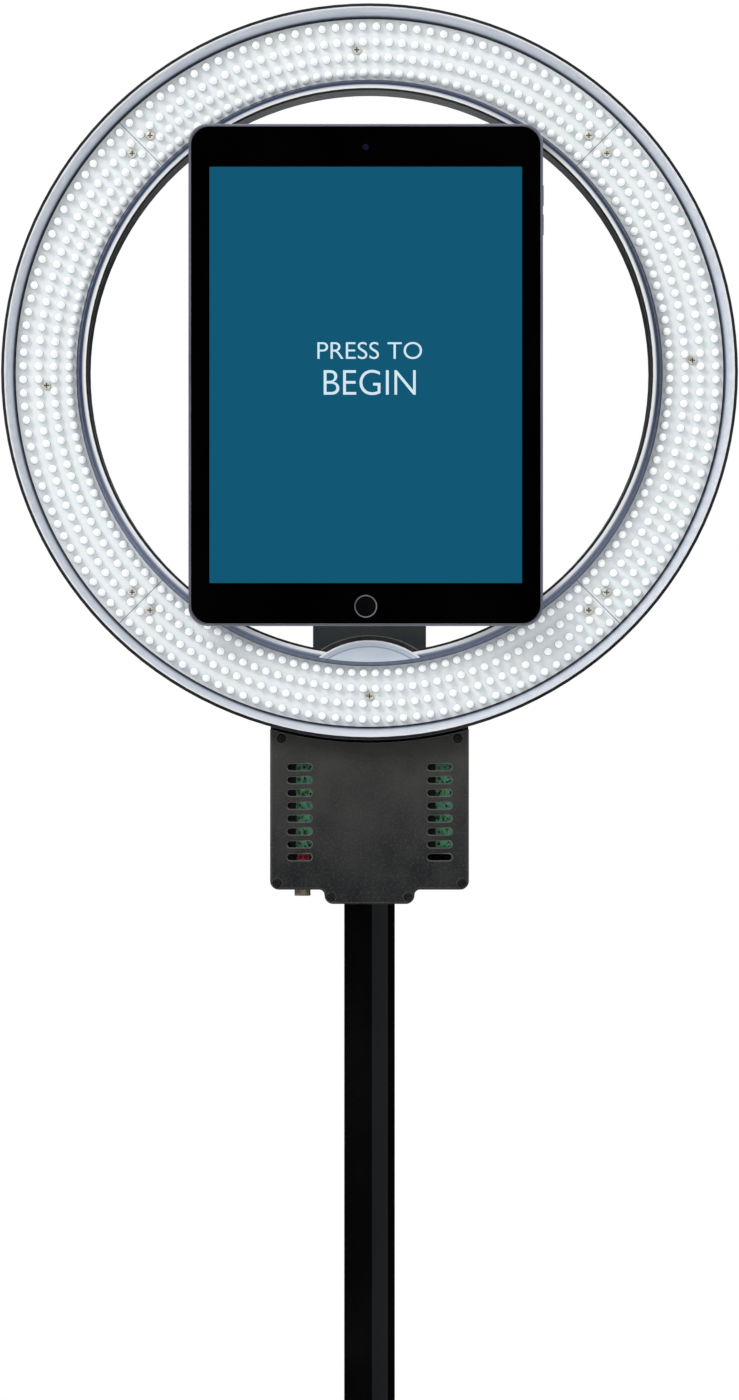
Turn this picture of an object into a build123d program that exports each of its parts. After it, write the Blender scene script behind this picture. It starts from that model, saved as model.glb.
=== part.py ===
from build123d import *
import math
import os

# Tablet photo booth: an LED ring light with a tablet at its centre, on a telescopic pole.
# Millimetres. +X is the viewer's right, -Y is the front, +Z is up.
# The origin is the centre of the floor contact, under the pole.

# Ring light
ring_z = 1420.0
ring_outer_r = 177.0
ring_inner_r = 135.2
rim_width = 1.4
inner_rim_width = 1.0
rim_y = -73.0
step_y = -69.0
ring_rear_y = -44.0
ring_floor = 2.5
rear_corner_r = 4.0
wall_under_step = 2.6
lead_hole_z = 1262.0
lead_hole_r = 6.0
ring_bolt_tip_y = -51.5

# Reflector tray, which drops into the housing's two rims
lip_y = -74.0
lip_width = 0.7
inner_lip_width = 1.4
lip_gap = 0.1
lip_wall = 1.6
crease_y = -71.8
crease_r = 139.6
tray_floor_y = -58.4
tray_floor = 1.6

# Crescent boss on the tray's inner lip, under the tablet
boss_r = 40.0
boss_z = 1251.0
boss_wall = 2.6
boss_slope = 2.3

# LED boards and LEDs
board_inner_r = 141.4
board_outer_r = 170.6
board_front_y = -63.0
board_thick = 1.6
board_seam = 0.3
led_rows = (144.6, 152.1, 159.5, 167.0)
leds_per_row = 160
led_r = 1.8
led_flange_r = 2.1
led_flange = 0.8
led_body = 3.2
board_screw_row = 155.8
screw_offset_deg = 2.25
housing_screw_r = 156.0

# Control box
box_half_width = 48.0
box_bottom_z = 1170.7
tab_half_width = 21.75
tab_bottom_z = 1163.8
box_top_z = 1268.0
box_front_y = -60.0
box_split_y = -46.0
box_rear_y = -30.0
cover_wall = 2.0
cover_face = 2.2
shell_wall = 2.2
ring_clear_r = 178.4
slot_x = 33.8
slot_top_z = 1229.9
slot_pitch = 6.21
slot_count = 8
slot_length = 11.9
slot_height = 3.2
cover_screw_points = ((42.6, 1243.7), (44.6, 1173.9), (18.6, 1167.2))
post_r = 2.8

# Driver board inside the box
driver_front_y = -50.0
driver_rear_y = -48.4
transistor_width = 4.8
transistor_height = 4.8
transistor_front_y = -53.6
transistor_overhang = 0.7
terminal_x = -32.1
terminal_width = 5.5
terminal_height = 7.6
terminal_front_y = -56.5
terminal_hole_r = 0.95
terminal_hole_x = 1.3
driver_post_points = ((-36.0, 1235.0), (36.0, 1235.0), (-8.0, 1181.0), (13.0, 1181.0))
inlet_x = -32.6
inlet_y = -38.0
inlet_r = 3.9
control_x = 36.5
control_z = 1218.0

# Bracket bar and tilt yoke
bar_width = 55.2
bar_thick = 3.0
bar_bottom_z = 1174.0
bar_top_z = 1458.0
bar_rear_y = box_rear_y + bar_thick
yoke_plate = 3.0
yoke_rear_y = bar_rear_y + yoke_plate
yoke_bolt_points = ((-23.0, 1190.0), (23.0, 1190.0), (-23.0, 1240.0), (23.0, 1240.0))
ring_bolt_points = ((-18.0, 1258.0), (18.0, 1258.0), (-38.0, 1257.0), (38.0, 1257.0))
tilt_z = 1215.0
ear_inner_x = 14.5
ear_thick = 4.0
ear_r = 14.0
tilt_bolt_r = 4.0

# Tablet and its plate
tablet_x = -1.8
tablet_z = 1417.7
tablet_width = 169.5
tablet_height = 240.0
tablet_front_y = -86.0
tablet_rear_y = -78.5
tablet_corner_r = 9.0
glass_inset = 1.15
glass_front_y = -85.9
glass_rear_y = -84.95
tablet_wall = 3.2
home_z = tablet_z - 110.6
camera_z = tablet_z + 109.0
side_button_y = -82.4
side_button_proud = 0.4
plate_width = 136.0
plate_height = 150.0
plate_front_y = -77.0
plate_rear_y = -74.0
standoff_x = 19.0
standoff_z_low = 1388.0
standoff_z_high = 1446.0
standoff_r = 6.0

# Pole and base
pole_r = 12.5
pole_wall = 1.5
pole_bottom_z = 480.0
pole_top_z = 1194.0
head_sleeve_r = 15.5
head_sleeve_bottom_z = 1168.0
lug_half_width = 14.0
lug_r = 13.0
lower_pole_r = 16.0
lower_pole_wall = 1.5
lower_pole_bottom_z = 20.0
lower_pole_top_z = 860.0
collar_r = 22.0
collar_bottom_z = 846.0
collar_top_z = 896.0
height_knob_z = 880.0
base_r = 200.0
foot_height = 4.0
base_thick = 8.0
base_top_z = foot_height + base_thick


# ---- helpers ----

def prism(sketch, y_front, y_back):
    # A sketch drawn in X and Z, given depth from y_back forward to y_front.
    return extrude(Plane.XZ.offset(-y_back) * sketch, amount=y_back - y_front)


def disc(x, z, radius, y_front, y_back):
    return prism(Pos(x, z) * Circle(radius), y_front, y_back)


def upright(x, y, radius, z_low, z_high):
    return Pos(x, y, (z_low + z_high) / 2) * Cylinder(radius, z_high - z_low)


def crossways(radius, x_low, x_high, y, z):
    bar = Rot(0, 90, 0) * Cylinder(radius, x_high - x_low)
    return Pos((x_low + x_high) / 2, y, z) * bar


def block(x_low, x_high, y_low, y_high, z_low, z_high):
    middle = ((x_low + x_high) / 2, (y_low + y_high) / 2, (z_low + z_high) / 2)
    return Pos(*middle) * Box(x_high - x_low, y_high - y_low, z_high - z_low)


def turned(points, centre_z):
    # A section given as (radius, y), turned about the Y direction through (0, centre_z).
    section = make_face(Polyline(*points, close=True))
    return Pos(0, 0, centre_z) * revolve(section, axis=Axis.Y, revolution_arc=360)


def around_ring(radius, degrees):
    angle = math.radians(degrees)
    return radius * math.cos(angle), ring_z + radius * math.sin(angle)


def rounded(width, height, radius):
    return RectangleRounded(width, height, radius)


def mirrored_points(points):
    return [(side * x, z) for x, z in points for side in (-1, 1)]


def socket_screw(x, z, face_y, shank_r, head_r, head, length):
    # A pan head standing proud of face_y towards -Y, with a cross recess, and its shank behind.
    body = disc(x, z, head_r, face_y - head, face_y)
    body = fillet(body.edges().sort_by(Axis.Y)[0], head * 0.45)
    body += disc(x, z, shank_r, face_y, face_y + length)
    arm = head_r * 1.2
    for width, height in ((arm, head_r * 0.28), (head_r * 0.28, arm)):
        body -= prism(Pos(x, z) * Rectangle(width, height), face_y - head - 1, face_y - head * 0.45)
    return body


def rear_bolt(x, z, face_y, shank_r, head_r, head, length):
    # A socket button head standing proud of face_y towards +Y, and its shank in front of it.
    body = disc(x, z, head_r, face_y, face_y + head)
    body = fillet(body.edges().sort_by(Axis.Y)[-1], head * 0.5)
    body += disc(x, z, shank_r, face_y - length, face_y)
    recess = Pos(x, z) * RegularPolygon(head_r * 0.5, 6)
    return body - prism(recess, face_y + head * 0.35, face_y + head + 1)


def hex_nut(x, z, y_front, y_back, flats_r, hole_r):
    outline = RegularPolygon(flats_r, 6, major_radius=False) - Circle(hole_r)
    return prism(Pos(x, z) * outline, y_front, y_back)


def lobed_knob(x_low, x_high, centre_z, radius, lobes):
    # A grip turned about the X direction, scalloped between its lobes.
    grip = crossways(radius, x_low, x_high, 0, centre_z)
    for i in range(lobes):
        angle = 2 * math.pi * (i + 0.5) / lobes
        y = radius * 1.22 * math.cos(angle)
        z = centre_z + radius * 1.22 * math.sin(angle)
        grip -= crossways(radius * 0.46, x_low - 1, x_high + 1, y, z)
    edges = grip.edges().group_by(Axis.X)
    return fillet(edges[0] + edges[-1], 1.2)


def save(shape, node):
    export_step(shape, f"parts/{node}.step")


# ---- ring light ----

def boss_region(radius, reach_r, y_front, y_back):
    # The crescent: a disc about the boss's own centre, kept where it lies inside the ring's hole.
    inside = disc(0, ring_z, reach_r, y_front, y_back)
    return disc(0, boss_z, radius, y_front, y_back) & inside


def ring_rear_housing():
    outer_step_r = ring_outer_r - rim_width
    inner_step_r = ring_inner_r + inner_rim_width
    points = [
        (ring_outer_r, rim_y),
        (ring_outer_r, ring_rear_y),
        (ring_inner_r, ring_rear_y),
        (ring_inner_r, rim_y),
        (inner_step_r, rim_y),
        (inner_step_r, step_y),
        (ring_inner_r + wall_under_step, step_y),
        (ring_inner_r + wall_under_step, ring_rear_y - ring_floor),
        (ring_outer_r - wall_under_step, ring_rear_y - ring_floor),
        (ring_outer_r - wall_under_step, step_y),
        (outer_step_r, step_y),
        (outer_step_r, rim_y),
    ]
    section = make_face(Polyline(*points, close=True))
    section = fillet(section.vertices().filter_by_position(Axis.Y, -44.1, -43.9), rear_corner_r)
    housing = Pos(0, 0, ring_z) * revolve(section, axis=Axis.Y, revolution_arc=360)
    wall_r = boss_r + lip_gap
    skin_r = wall_r + boss_wall
    reach = ring_inner_r + 1.0
    housing -= boss_region(wall_r, crease_r + 0.4, rim_y - 1, step_y)
    wall = boss_region(skin_r, reach, rim_y, ring_rear_y) - disc(0, boss_z, wall_r, rim_y - 1, -46.5)
    housing += wall
    housing -= disc(0, lead_hole_z, lead_hole_r, -50, -40)
    for i in range(8):
        x, z = around_ring(housing_screw_r, 22.5 + 45 * i)
        housing -= disc(x, z, 1.6, -50, -40)
    for x, z in ring_bolt_points:
        housing -= disc(x, z, 2.6, -50, -40)
    # A shallow groove between two ribs runs round the back.
    groove = [(150.0, -44.9), (162.0, -44.9), (162.0, -43.0), (150.0, -43.0)]
    clear = block(-50, 50, -50, -40, 1200, 1290)
    housing -= turned(groove, ring_z) - clear
    return housing


def ring_reflector_tray():
    outer_lip_r = ring_outer_r - rim_width - lip_gap
    inner_lip_r = ring_inner_r + inner_rim_width + lip_gap
    ledge_y = board_front_y + board_thick
    floor_back_y = tray_floor_y + tray_floor
    points = [
        (outer_lip_r, lip_y),
        (outer_lip_r - lip_width, lip_y),
        (board_outer_r + 0.4, board_front_y - 0.2),
        (board_outer_r + 0.2, ledge_y),
        (board_outer_r - 1.4, ledge_y),
        (board_outer_r - 1.4, tray_floor_y),
        (board_inner_r + 1.4, tray_floor_y),
        (board_inner_r + 1.4, ledge_y),
        (board_inner_r - 0.1, ledge_y),
        (board_inner_r - 0.2, board_front_y - 0.2),
        (crease_r, crease_y),
        (inner_lip_r + inner_lip_width, lip_y),
        (inner_lip_r, lip_y),
        (inner_lip_r, step_y),
        (inner_lip_r + lip_wall, step_y),
        (crease_r, floor_back_y),
        (board_outer_r + lip_wall, floor_back_y),
        (outer_lip_r - lip_wall, step_y),
        (outer_lip_r, step_y),
    ]
    tray = turned(points, ring_z)
    tray -= boss_region(boss_r, crease_r + 0.05, lip_y - 1, crease_y)
    rim = [
        (0.0, crease_y),
        (boss_r - lip_width - boss_slope, crease_y),
        (boss_r - lip_width, lip_y),
        (boss_r, lip_y),
        (boss_r, step_y),
        (boss_r - lip_wall, step_y),
        (boss_r - lip_wall, crease_y + lip_wall),
        (0.0, crease_y + lip_wall),
    ]
    face = turned(rim, boss_z) & disc(0, ring_z, crease_r, lip_y - 1, step_y + 1)
    tray += face
    for x, z in board_screw_points():
        tray += disc(x, z, 2.6, ledge_y, tray_floor_y)
        tray -= disc(x, z, 1.1, ledge_y - 1, floor_back_y + 1)
    for i in range(8):
        x, z = around_ring(housing_screw_r, 22.5 + 45 * i)
        tray += disc(x, z, 3.4, floor_back_y, ring_rear_y - ring_floor)
        tray -= disc(x, z, 1.5, floor_back_y + 1, ring_rear_y)
    return tray


def board_screw_points():
    # Two screws hold each pair of board ends, and one holds each board at its middle.
    turns = [45 + 90 * i + s for i in range(4) for s in (-screw_offset_deg, screw_offset_deg)]
    turns += [90 + screw_offset_deg, screw_offset_deg, 180 + screw_offset_deg, 270.0]
    return [around_ring(board_screw_row, turn) for turn in turns]


def led_board(middle_deg):
    wedge_r = board_outer_r * 1.5
    sides = [around_ring(wedge_r, middle_deg + s) for s in (-45, 45)]
    wedge = make_face(Polyline((0, ring_z), sides[0], sides[1], close=True))
    ring = Pos(0, ring_z) * (Circle(board_outer_r) - Circle(board_inner_r))
    outline = offset(wedge, -board_seam / 2) & ring
    board = prism(outline, board_front_y, board_front_y + board_thick)
    for x, z in board_screw_points():
        board -= disc(x, z, 1.3, board_front_y - 1, board_front_y + board_thick + 1)
    return board


def one_led():
    body = disc(0, 0, led_r, -led_body, 0) + Pos(0, -led_body, 0) * Sphere(led_r)
    return body + disc(0, 0, led_flange_r, -led_flange, 0)


def led_array(middle_deg):
    led = one_led()
    pitch = 360 / leds_per_row
    leds = []
    for radius in led_rows:
        for i in range(leds_per_row // 4):
            x, z = around_ring(radius, middle_deg - 45 + pitch * (i + 0.5))
            leds.append(Pos(x, board_front_y, z) * led)
    return Compound(leds)


def led_board_screws():
    screws = []
    for x, z in board_screw_points():
        screws.append(socket_screw(x, z, board_front_y, 1.0, 2.1, 1.3, 4.4))
    return Compound(screws)


def ring_housing_screws():
    screws = []
    for i in range(8):
        x, z = around_ring(housing_screw_r, 22.5 + 45 * i)
        screws.append(rear_bolt(x, z, ring_rear_y - 0.9, 1.4, 2.8, 1.7, 9.0))
    return Compound(screws)


def led_wire_loom():
    loop_r = 147.5
    wire_r = 1.5
    loop_y = -52.0
    turn = Pos(loop_r, loop_y) * Circle(wire_r)
    loop = Pos(0, 0, ring_z) * revolve(turn, axis=Axis.Y, revolution_arc=360)
    start = (0, loop_y, ring_z - loop_r - wire_r - 0.1)
    corners = ((0, loop_y, lead_hole_z), (0, -38, lead_hole_z), (0, -38, 1237))
    path = FilletPolyline(start, *corners, radius=5.5)
    section = Plane(origin=start, z_dir=(0, 0, -1)) * Circle(1.8)
    return Compound([loop, sweep(section, path=path)])


# ---- control box ----

def box_outline(inset):
    width = 2 * (box_half_width - inset)
    height = box_top_z - box_bottom_z - 2 * inset
    main = Pos(0, (box_top_z + box_bottom_z) / 2) * Rectangle(width, height)
    tab_height = box_bottom_z - tab_bottom_z + 10
    tab_middle = tab_bottom_z + inset + tab_height / 2
    tab = Pos(0, tab_middle) * Rectangle(2 * (tab_half_width - inset), tab_height)
    outline = main + tab
    roots = outline.vertices().filter_by_position(Axis.Y, box_bottom_z + inset - 0.1, box_bottom_z + inset + 0.1)
    inner_roots = [v for v in roots if abs(v.X) < tab_half_width + 1]
    outline = fillet(inner_roots, 2.6 + inset)
    edge = box_half_width - inset
    corners = [v for v in outline.vertices() if abs(abs(v.X) - edge) < 0.01]
    low_x = tab_half_width - inset
    low_z = tab_bottom_z + inset
    corners += [v for v in outline.vertices() if abs(abs(v.X) - low_x) < 0.01 and abs(v.Y - low_z) < 0.01]
    return fillet(corners, 4.2 - inset)


def arc_band(inner_r, outer_r):
    return Pos(0, ring_z) * (Circle(outer_r) - Circle(inner_r))


def box_front_cover():
    cover = prism(box_outline(0), box_front_y, box_split_y)
    cover = chamfer(cover.faces().sort_by(Axis.Y)[0].edges(), 0.8)
    cover -= prism(box_outline(cover_wall), box_front_y + cover_face, box_split_y + 1)
    cover -= disc(0, ring_z, ring_clear_r, box_front_y - 1, box_split_y + 1)
    band = arc_band(ring_clear_r, ring_clear_r + cover_wall)
    cover += prism(band & box_outline(0.5), box_front_y + cover_face - 0.5, box_split_y)
    cover += prism(band & box_outline(shell_wall + 0.3), box_split_y - 1, ring_rear_y - 0.2)
    for x, z in mirrored_points(cover_screw_points):
        cover += disc(x, z, post_r, box_front_y + cover_face, box_split_y)
    cover -= disc(0, ring_z, ring_clear_r, box_front_y - 1, box_split_y + 1)
    for x, z in mirrored_points(cover_screw_points):
        cover -= disc(x, z, 2.4, box_front_y - 1, box_front_y + 1.3)
        cover -= disc(x, z, 1.35, box_front_y - 1, box_split_y + 1)
        cover -= disc(x, z, post_r + 0.3, box_split_y, ring_rear_y)
    for side in (-1, 1):
        for i in range(slot_count):
            slot = SlotOverall(slot_length, slot_height)
            place = Pos(side * slot_x, slot_top_z - slot_pitch * i)
            cover -= prism(place * slot, box_front_y - 1, box_front_y + cover_face + 1)
    return cover


def box_rear_shell():
    shell = prism(box_outline(0), box_split_y, box_rear_y)
    floor_y = box_rear_y - shell_wall
    shell -= prism(box_outline(shell_wall), box_split_y - 1, floor_y)
    for x, z in mirrored_points(cover_screw_points):
        shell += disc(x, z, post_r, box_split_y, floor_y)
    for x, z in driver_post_points:
        shell += disc(x, z, 3.0, driver_rear_y, floor_y)
    for x, z in yoke_bolt_points:
        shell += disc(x, z, 4.5, -42.0, floor_y)
    for x, z in ring_bolt_points:
        shell += disc(x, z, 5.0, ring_rear_y, floor_y)
    shell -= disc(0, ring_z, ring_clear_r, box_split_y - 1, ring_rear_y)
    for x, z in mirrored_points(cover_screw_points):
        shell -= disc(x, z, 1.35, box_split_y - 1, floor_y - 2)
    for x, z in driver_post_points:
        shell -= disc(x, z, 1.2, driver_rear_y - 1, floor_y - 1)
    for x, z in yoke_bolt_points + ring_bolt_points:
        shell -= disc(x, z, 2.6, -50, box_rear_y + 1)
    shell -= upright(inlet_x, inlet_y, inlet_r + 0.1, box_bottom_z - 1, box_bottom_z + shell_wall + 1)
    shell -= disc(control_x, control_z, 3.6, floor_y - 1, box_rear_y + 1)
    cut = Pos(-control_x, control_z) * Rectangle(13.2, 19.4)
    shell -= prism(cut, floor_y - 1, box_rear_y + 1)
    edges = shell.faces().sort_by(Axis.Y)[-1].outer_wire().edges()
    return chamfer(edges, 0.8)


def box_cover_screws():
    screws = []
    for x, z in mirrored_points(cover_screw_points):
        screws.append(socket_screw(x, z, box_front_y + 1.3, 1.25, 2.25, 1.5, 18.0))
    return Compound(screws)


def driver_board():
    outline = Pos(0, 1208.8) * Rectangle(84, 62.4)
    outline -= Pos(35, 1183) * Rectangle(22, 16)
    outline -= arc_band(0.1, ring_clear_r + cover_wall + 0.4)
    board = prism(outline, driver_front_y, driver_rear_y)
    for x, z in driver_post_points:
        board -= disc(x, z, 1.4, driver_front_y - 1, driver_rear_y + 1)
    return board


def driver_board_screws():
    screws = []
    for x, z in driver_post_points:
        screws.append(socket_screw(x, z, driver_front_y, 1.15, 2.3, 1.4, 9.0))
    return Compound(screws)


def driver_capacitors():
    cans = []
    for x, z, radius, y_back in ((-9, 1198, 5, -35.5), (2, 1198, 5, -35.5), (-9, 1210, 4, -38)):
        can = disc(x, z, radius, driver_rear_y, y_back)
        can = fillet(can.edges().sort_by(Axis.Y)[-1], 0.6)
        cans.append(can)
    return Compound(cans)


def driver_inductor():
    x, z = 9.0, 1221.0
    core = turned([(3.5, -47.4), (9.0, -47.4), (9.0, -39.4), (3.5, -39.4)], 0)
    foot = disc(0, 0, 7.0, driver_rear_y, -47.4)
    return Pos(x, 0, z) * (core + foot)


def driver_heat_sink():
    fins = block(-30, -14, driver_rear_y, -46.0, 1200, 1206)
    for i in range(5):
        x = -30 + 3.5 * i
        fins += block(x, x + 1.6, driver_rear_y, -38.0, 1200, 1206)
    return fins


def driver_chips():
    # The control chip, the connector at the back, and a transistor behind the left end of each slot.
    chips = [
        block(-6.0, 6.0, -51.6, driver_front_y, 1199, 1211),
        block(-4.5, 4.5, driver_rear_y, -34.5, 1229, 1236.9),
    ]
    for i in range(slot_count):
        z = slot_top_z - slot_pitch * i
        for side in (-1, 1):
            x = side * slot_x - slot_length / 2 + transistor_width / 2 - transistor_overhang
            if x < 0 or i < slot_count - 1:
                place = Pos(x, z) * Rectangle(transistor_width, transistor_height)
                chips.append(prism(place, transistor_front_y, driver_front_y))
    return Compound(chips)


def output_terminal():
    lowest_slot_z = slot_top_z - slot_pitch * (slot_count - 1)
    outline = Pos(terminal_x, lowest_slot_z) * Rectangle(terminal_width, terminal_height)
    body = prism(outline, terminal_front_y, driver_front_y)
    for side in (-1, 1):
        x = terminal_x + side * terminal_hole_x
        body -= disc(x, lowest_slot_z, terminal_hole_r, terminal_front_y - 1, terminal_front_y + 2.5)
    return body


def power_inlet():
    outline = RegularPolygon(inlet_r, 12)
    low_z = box_bottom_z - 3.6
    base = Plane.XY.offset(low_z) * (Pos(inlet_x, inlet_y) * outline)
    collar = extrude(base, amount=3.6)
    barrel = upright(inlet_x, inlet_y, inlet_r - 0.05, low_z + 3.5, 1181.0)
    body = collar + barrel
    body -= upright(inlet_x, inlet_y, 2.75, low_z - 1, low_z + 9)
    return body + upright(inlet_x, inlet_y, 1.0, low_z + 0.8, low_z + 10)


def inlet_nut():
    low_z = box_bottom_z + shell_wall
    outline = RegularPolygon(4.9, 6, major_radius=False) - Circle(inlet_r)
    return extrude(Plane.XY.offset(low_z) * (Pos(inlet_x, inlet_y) * outline), amount=2.4)


def power_switch_body():
    centre = Pos(-control_x, control_z)
    body = prism(centre * Rectangle(13.0, 19.2), -43.5, box_rear_y)
    body += prism(centre * rounded(15.4, 21.6, 1.2), box_rear_y, box_rear_y + 1.6)
    return body - prism(centre * Rectangle(10.2, 15.2), -37.0, box_rear_y + 2)


def power_switch_rocker():
    # A shallow V-shaped paddle on a cross pin, resting with its lower half pressed in.
    profile = Polyline((-7.0, -1.2), (7.0, -1.2), (7.0, 3.2), (0.0, 1.8), (-7.0, 3.2), close=True)
    paddle = extrude(Plane.YZ * make_face(profile), amount=4.9, both=True)
    paddle = Rot(90, 0, 0) * paddle
    pin = Rot(0, 90, 0) * Cylinder(1.2, 10.1)
    rocker = Rot(-9, 0, 0) * (Rot(180, 0, 0) * paddle + pin)
    return Pos(-control_x, box_rear_y - 1.6, control_z) * rocker


def dimmer_potentiometer():
    centre = Pos(control_x, control_z)
    body = prism(centre * rounded(15.6, 15.6, 1.5), -41.0, box_rear_y - shell_wall)
    body += disc(control_x, control_z, 3.5, box_rear_y - shell_wall, box_rear_y + 1.5)
    body += hex_nut(control_x, control_z, box_rear_y, box_rear_y + 1.2, 4.8, 3.4)
    return body - disc(control_x, control_z, 2.08, -40.0, box_rear_y + 3)


def dimmer_knob():
    low_y = box_rear_y + 1.9
    knob = disc(control_x, control_z, 8.0, low_y, low_y + 11.0)
    knob = chamfer(knob.edges().sort_by(Axis.Y)[-1], 1.0)
    for i in range(18):
        angle = math.radians(20 * i)
        x = control_x + 8.3 * math.cos(angle)
        z = control_z + 8.3 * math.sin(angle)
        knob -= disc(x, z, 0.7, low_y - 1, low_y + 12)
    pointer = Pos(control_x, control_z + 4.6) * Rectangle(1.2, 5.4)
    knob -= prism(pointer, low_y + 10.4, low_y + 12)
    return knob + disc(control_x, control_z, 2.0, -39.5, low_y)


# ---- bracket and tilt head ----

def bracket_bar():
    middle = (bar_bottom_z + bar_top_z) / 2
    outline = Pos(0, middle) * rounded(bar_width, bar_top_z - bar_bottom_z, 4.0)
    bar = prism(outline, box_rear_y, bar_rear_y)
    for x, z in yoke_bolt_points + ring_bolt_points[:2]:
        bar -= disc(x, z, 2.6, box_rear_y - 1, bar_rear_y + 1)
    for x, z in standoff_points():
        bar -= disc(x, z, 2.1, box_rear_y - 1, bar_rear_y + 1)
    return bar


def tilt_yoke():
    yoke = prism(Pos(0, 1215) * rounded(55.0, 62.0, 4.0), bar_rear_y, yoke_rear_y)
    for side in (-1, 1):
        inner = side * ear_inner_x
        outer = side * (ear_inner_x + ear_thick)
        low, high = sorted((inner, outer))
        ear = block(low, high, yoke_rear_y - 0.5, 0, tilt_z - ear_r, tilt_z + ear_r)
        ear += crossways(ear_r, low, high, 0, tilt_z)
        yoke += ear - crossways(tilt_bolt_r + 0.15, low - 1, high + 1, 0, tilt_z)
    for x, z in yoke_bolt_points:
        yoke -= disc(x, z, 2.6, bar_rear_y - 1, yoke_rear_y + 1)
    return yoke


def bracket_bolts():
    solids = []
    for x, z in yoke_bolt_points:
        solids.append(rear_bolt(x, z, yoke_rear_y, 2.5, 4.4, 2.8, 14.0))
    for x, z in ring_bolt_points:
        face_y = bar_rear_y if abs(x) < 20 else box_rear_y
        solids.append(rear_bolt(x, z, face_y, 2.5, 4.4, 2.8, face_y - ring_bolt_tip_y))
        solids.append(hex_nut(x, z, -50.5, ring_rear_y - ring_floor, 4.0, 2.55))
    return Compound(solids)


def tilt_bolt():
    reach = ear_inner_x + ear_thick
    shank = crossways(tilt_bolt_r, -reach - 1, reach + 14, 0, tilt_z)
    outline = Plane.YZ.offset(-reach - 6.4) * (Pos(0, tilt_z) * RegularPolygon(6.5, 6, major_radius=False))
    head = extrude(outline, amount=5.2)
    return shank + head + crossways(8.0, -reach - 1.2, -reach, 0, tilt_z)


def tilt_washers():
    washers = []
    for side in (-1, 1):
        low, high = sorted((side * (lug_half_width + 0.06), side * (ear_inner_x - 0.04)))
        washer = crossways(12.0, low, high, 0, tilt_z)
        washers.append(washer - crossways(tilt_bolt_r + 0.06, low - 1, high + 1, 0, tilt_z))
    return Compound(washers)


def tilt_knob():
    start = ear_inner_x + ear_thick + 0.3
    knob = crossways(9.0, start, start + 7, 0, tilt_z)
    knob += lobed_knob(start + 6, start + 20, tilt_z, 17.0, 5)
    return knob - crossways(tilt_bolt_r + 0.06, start - 1, start + 15, 0, tilt_z)


def pole_head():
    head = upright(0, 0, head_sleeve_r, head_sleeve_bottom_z, 1197.0)
    head = chamfer(head.edges().sort_by(Axis.Z)[0], 1.0)
    head = chamfer(head.edges().sort_by(Axis.Z)[-1], 1.5)
    head += block(-lug_half_width, lug_half_width, -lug_r, lug_r, 1195.0, tilt_z)
    head += crossways(lug_r, -lug_half_width, lug_half_width, 0, tilt_z)
    # The neck's four corners are cut back so that it stands inside the sleeve's circle.
    head &= upright(0, 0, head_sleeve_r + 2.0, head_sleeve_bottom_z, tilt_z + lug_r)
    head -= upright(0, 0, pole_r + 0.03, head_sleeve_bottom_z - 1, pole_top_z)
    return head - crossways(tilt_bolt_r + 0.05, -20, 20, 0, tilt_z)


# ---- tablet ----

def standoff_points():
    return [(x, z) for x in (-standoff_x, standoff_x) for z in (standoff_z_low, standoff_z_high)]


def standoffs():
    posts = []
    for x, z in standoff_points():
        post = disc(x, z, standoff_r, plate_rear_y, box_rear_y)
        posts.append(post - disc(x, z, 2.1, plate_rear_y - 1, box_rear_y + 1))
    return Compound(posts)


def standoff_screws():
    screws = []
    for x, z in standoff_points():
        screws.append(rear_bolt(x, z, bar_rear_y, 2.0, 3.8, 2.2, 14.0))
        head = turned([(0, plate_front_y), (3.8, plate_front_y), (2.0, -75.2), (0, -75.2)], 0)
        front = head + disc(0, 0, 2.0, -75.3, -64.0)
        front -= prism(RegularPolygon(1.4, 6), plate_front_y - 1, -75.6)
        screws.append(Pos(x, 0, z) * front)
    return Compound(screws)


def tablet_plate():
    outline = Pos(0, tablet_z) * rounded(plate_width, plate_height, 8.0)
    plate = prism(outline, plate_front_y, plate_rear_y)
    for x, z in standoff_points():
        cone = turned([(0, -78), (4.9, -78), (2.1, -75.15), (2.1, -73), (0, -73)], 0)
        plate -= Pos(x, 0, z) * cone
    return plate


def foam_pads():
    pads = []
    for x in (-46.0, 46.0):
        for z in (-46.0, 46.0):
            outline = Pos(x, tablet_z + z) * rounded(34.0, 46.0, 2.0)
            pads.append(prism(outline, tablet_rear_y, plate_front_y))
    return Compound(pads)


def tablet_outline(inset):
    width = tablet_width - 2 * inset
    height = tablet_height - 2 * inset
    radius = max(tablet_corner_r - inset, 2.0)
    return Pos(tablet_x, tablet_z) * rounded(width, height, radius)


def side_button_points():
    # (x, z, runs along X) of the sleep, volume up and volume down buttons.
    edge_x = tablet_x + tablet_width / 2
    edge_z = tablet_z + tablet_height / 2
    return ((tablet_x + 62.0, edge_z, True), (edge_x, tablet_z + 86.0, False), (edge_x, tablet_z + 72.0, False))


def side_button(x, z, along_x, grow, inner, outer):
    # A pill that passes through the tablet's edge wall, between two distances past the edge.
    if along_x:
        plane = Plane(origin=(x, side_button_y, z + inner), x_dir=(1, 0, 0), z_dir=(0, 0, 1))
    else:
        plane = Plane(origin=(x + inner, side_button_y, z), x_dir=(0, 0, 1), z_dir=(1, 0, 0))
    pill = plane * SlotOverall(10.0 + 2 * grow, 2.4 + 2 * grow)
    return extrude(pill, amount=outer - inner)


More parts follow.
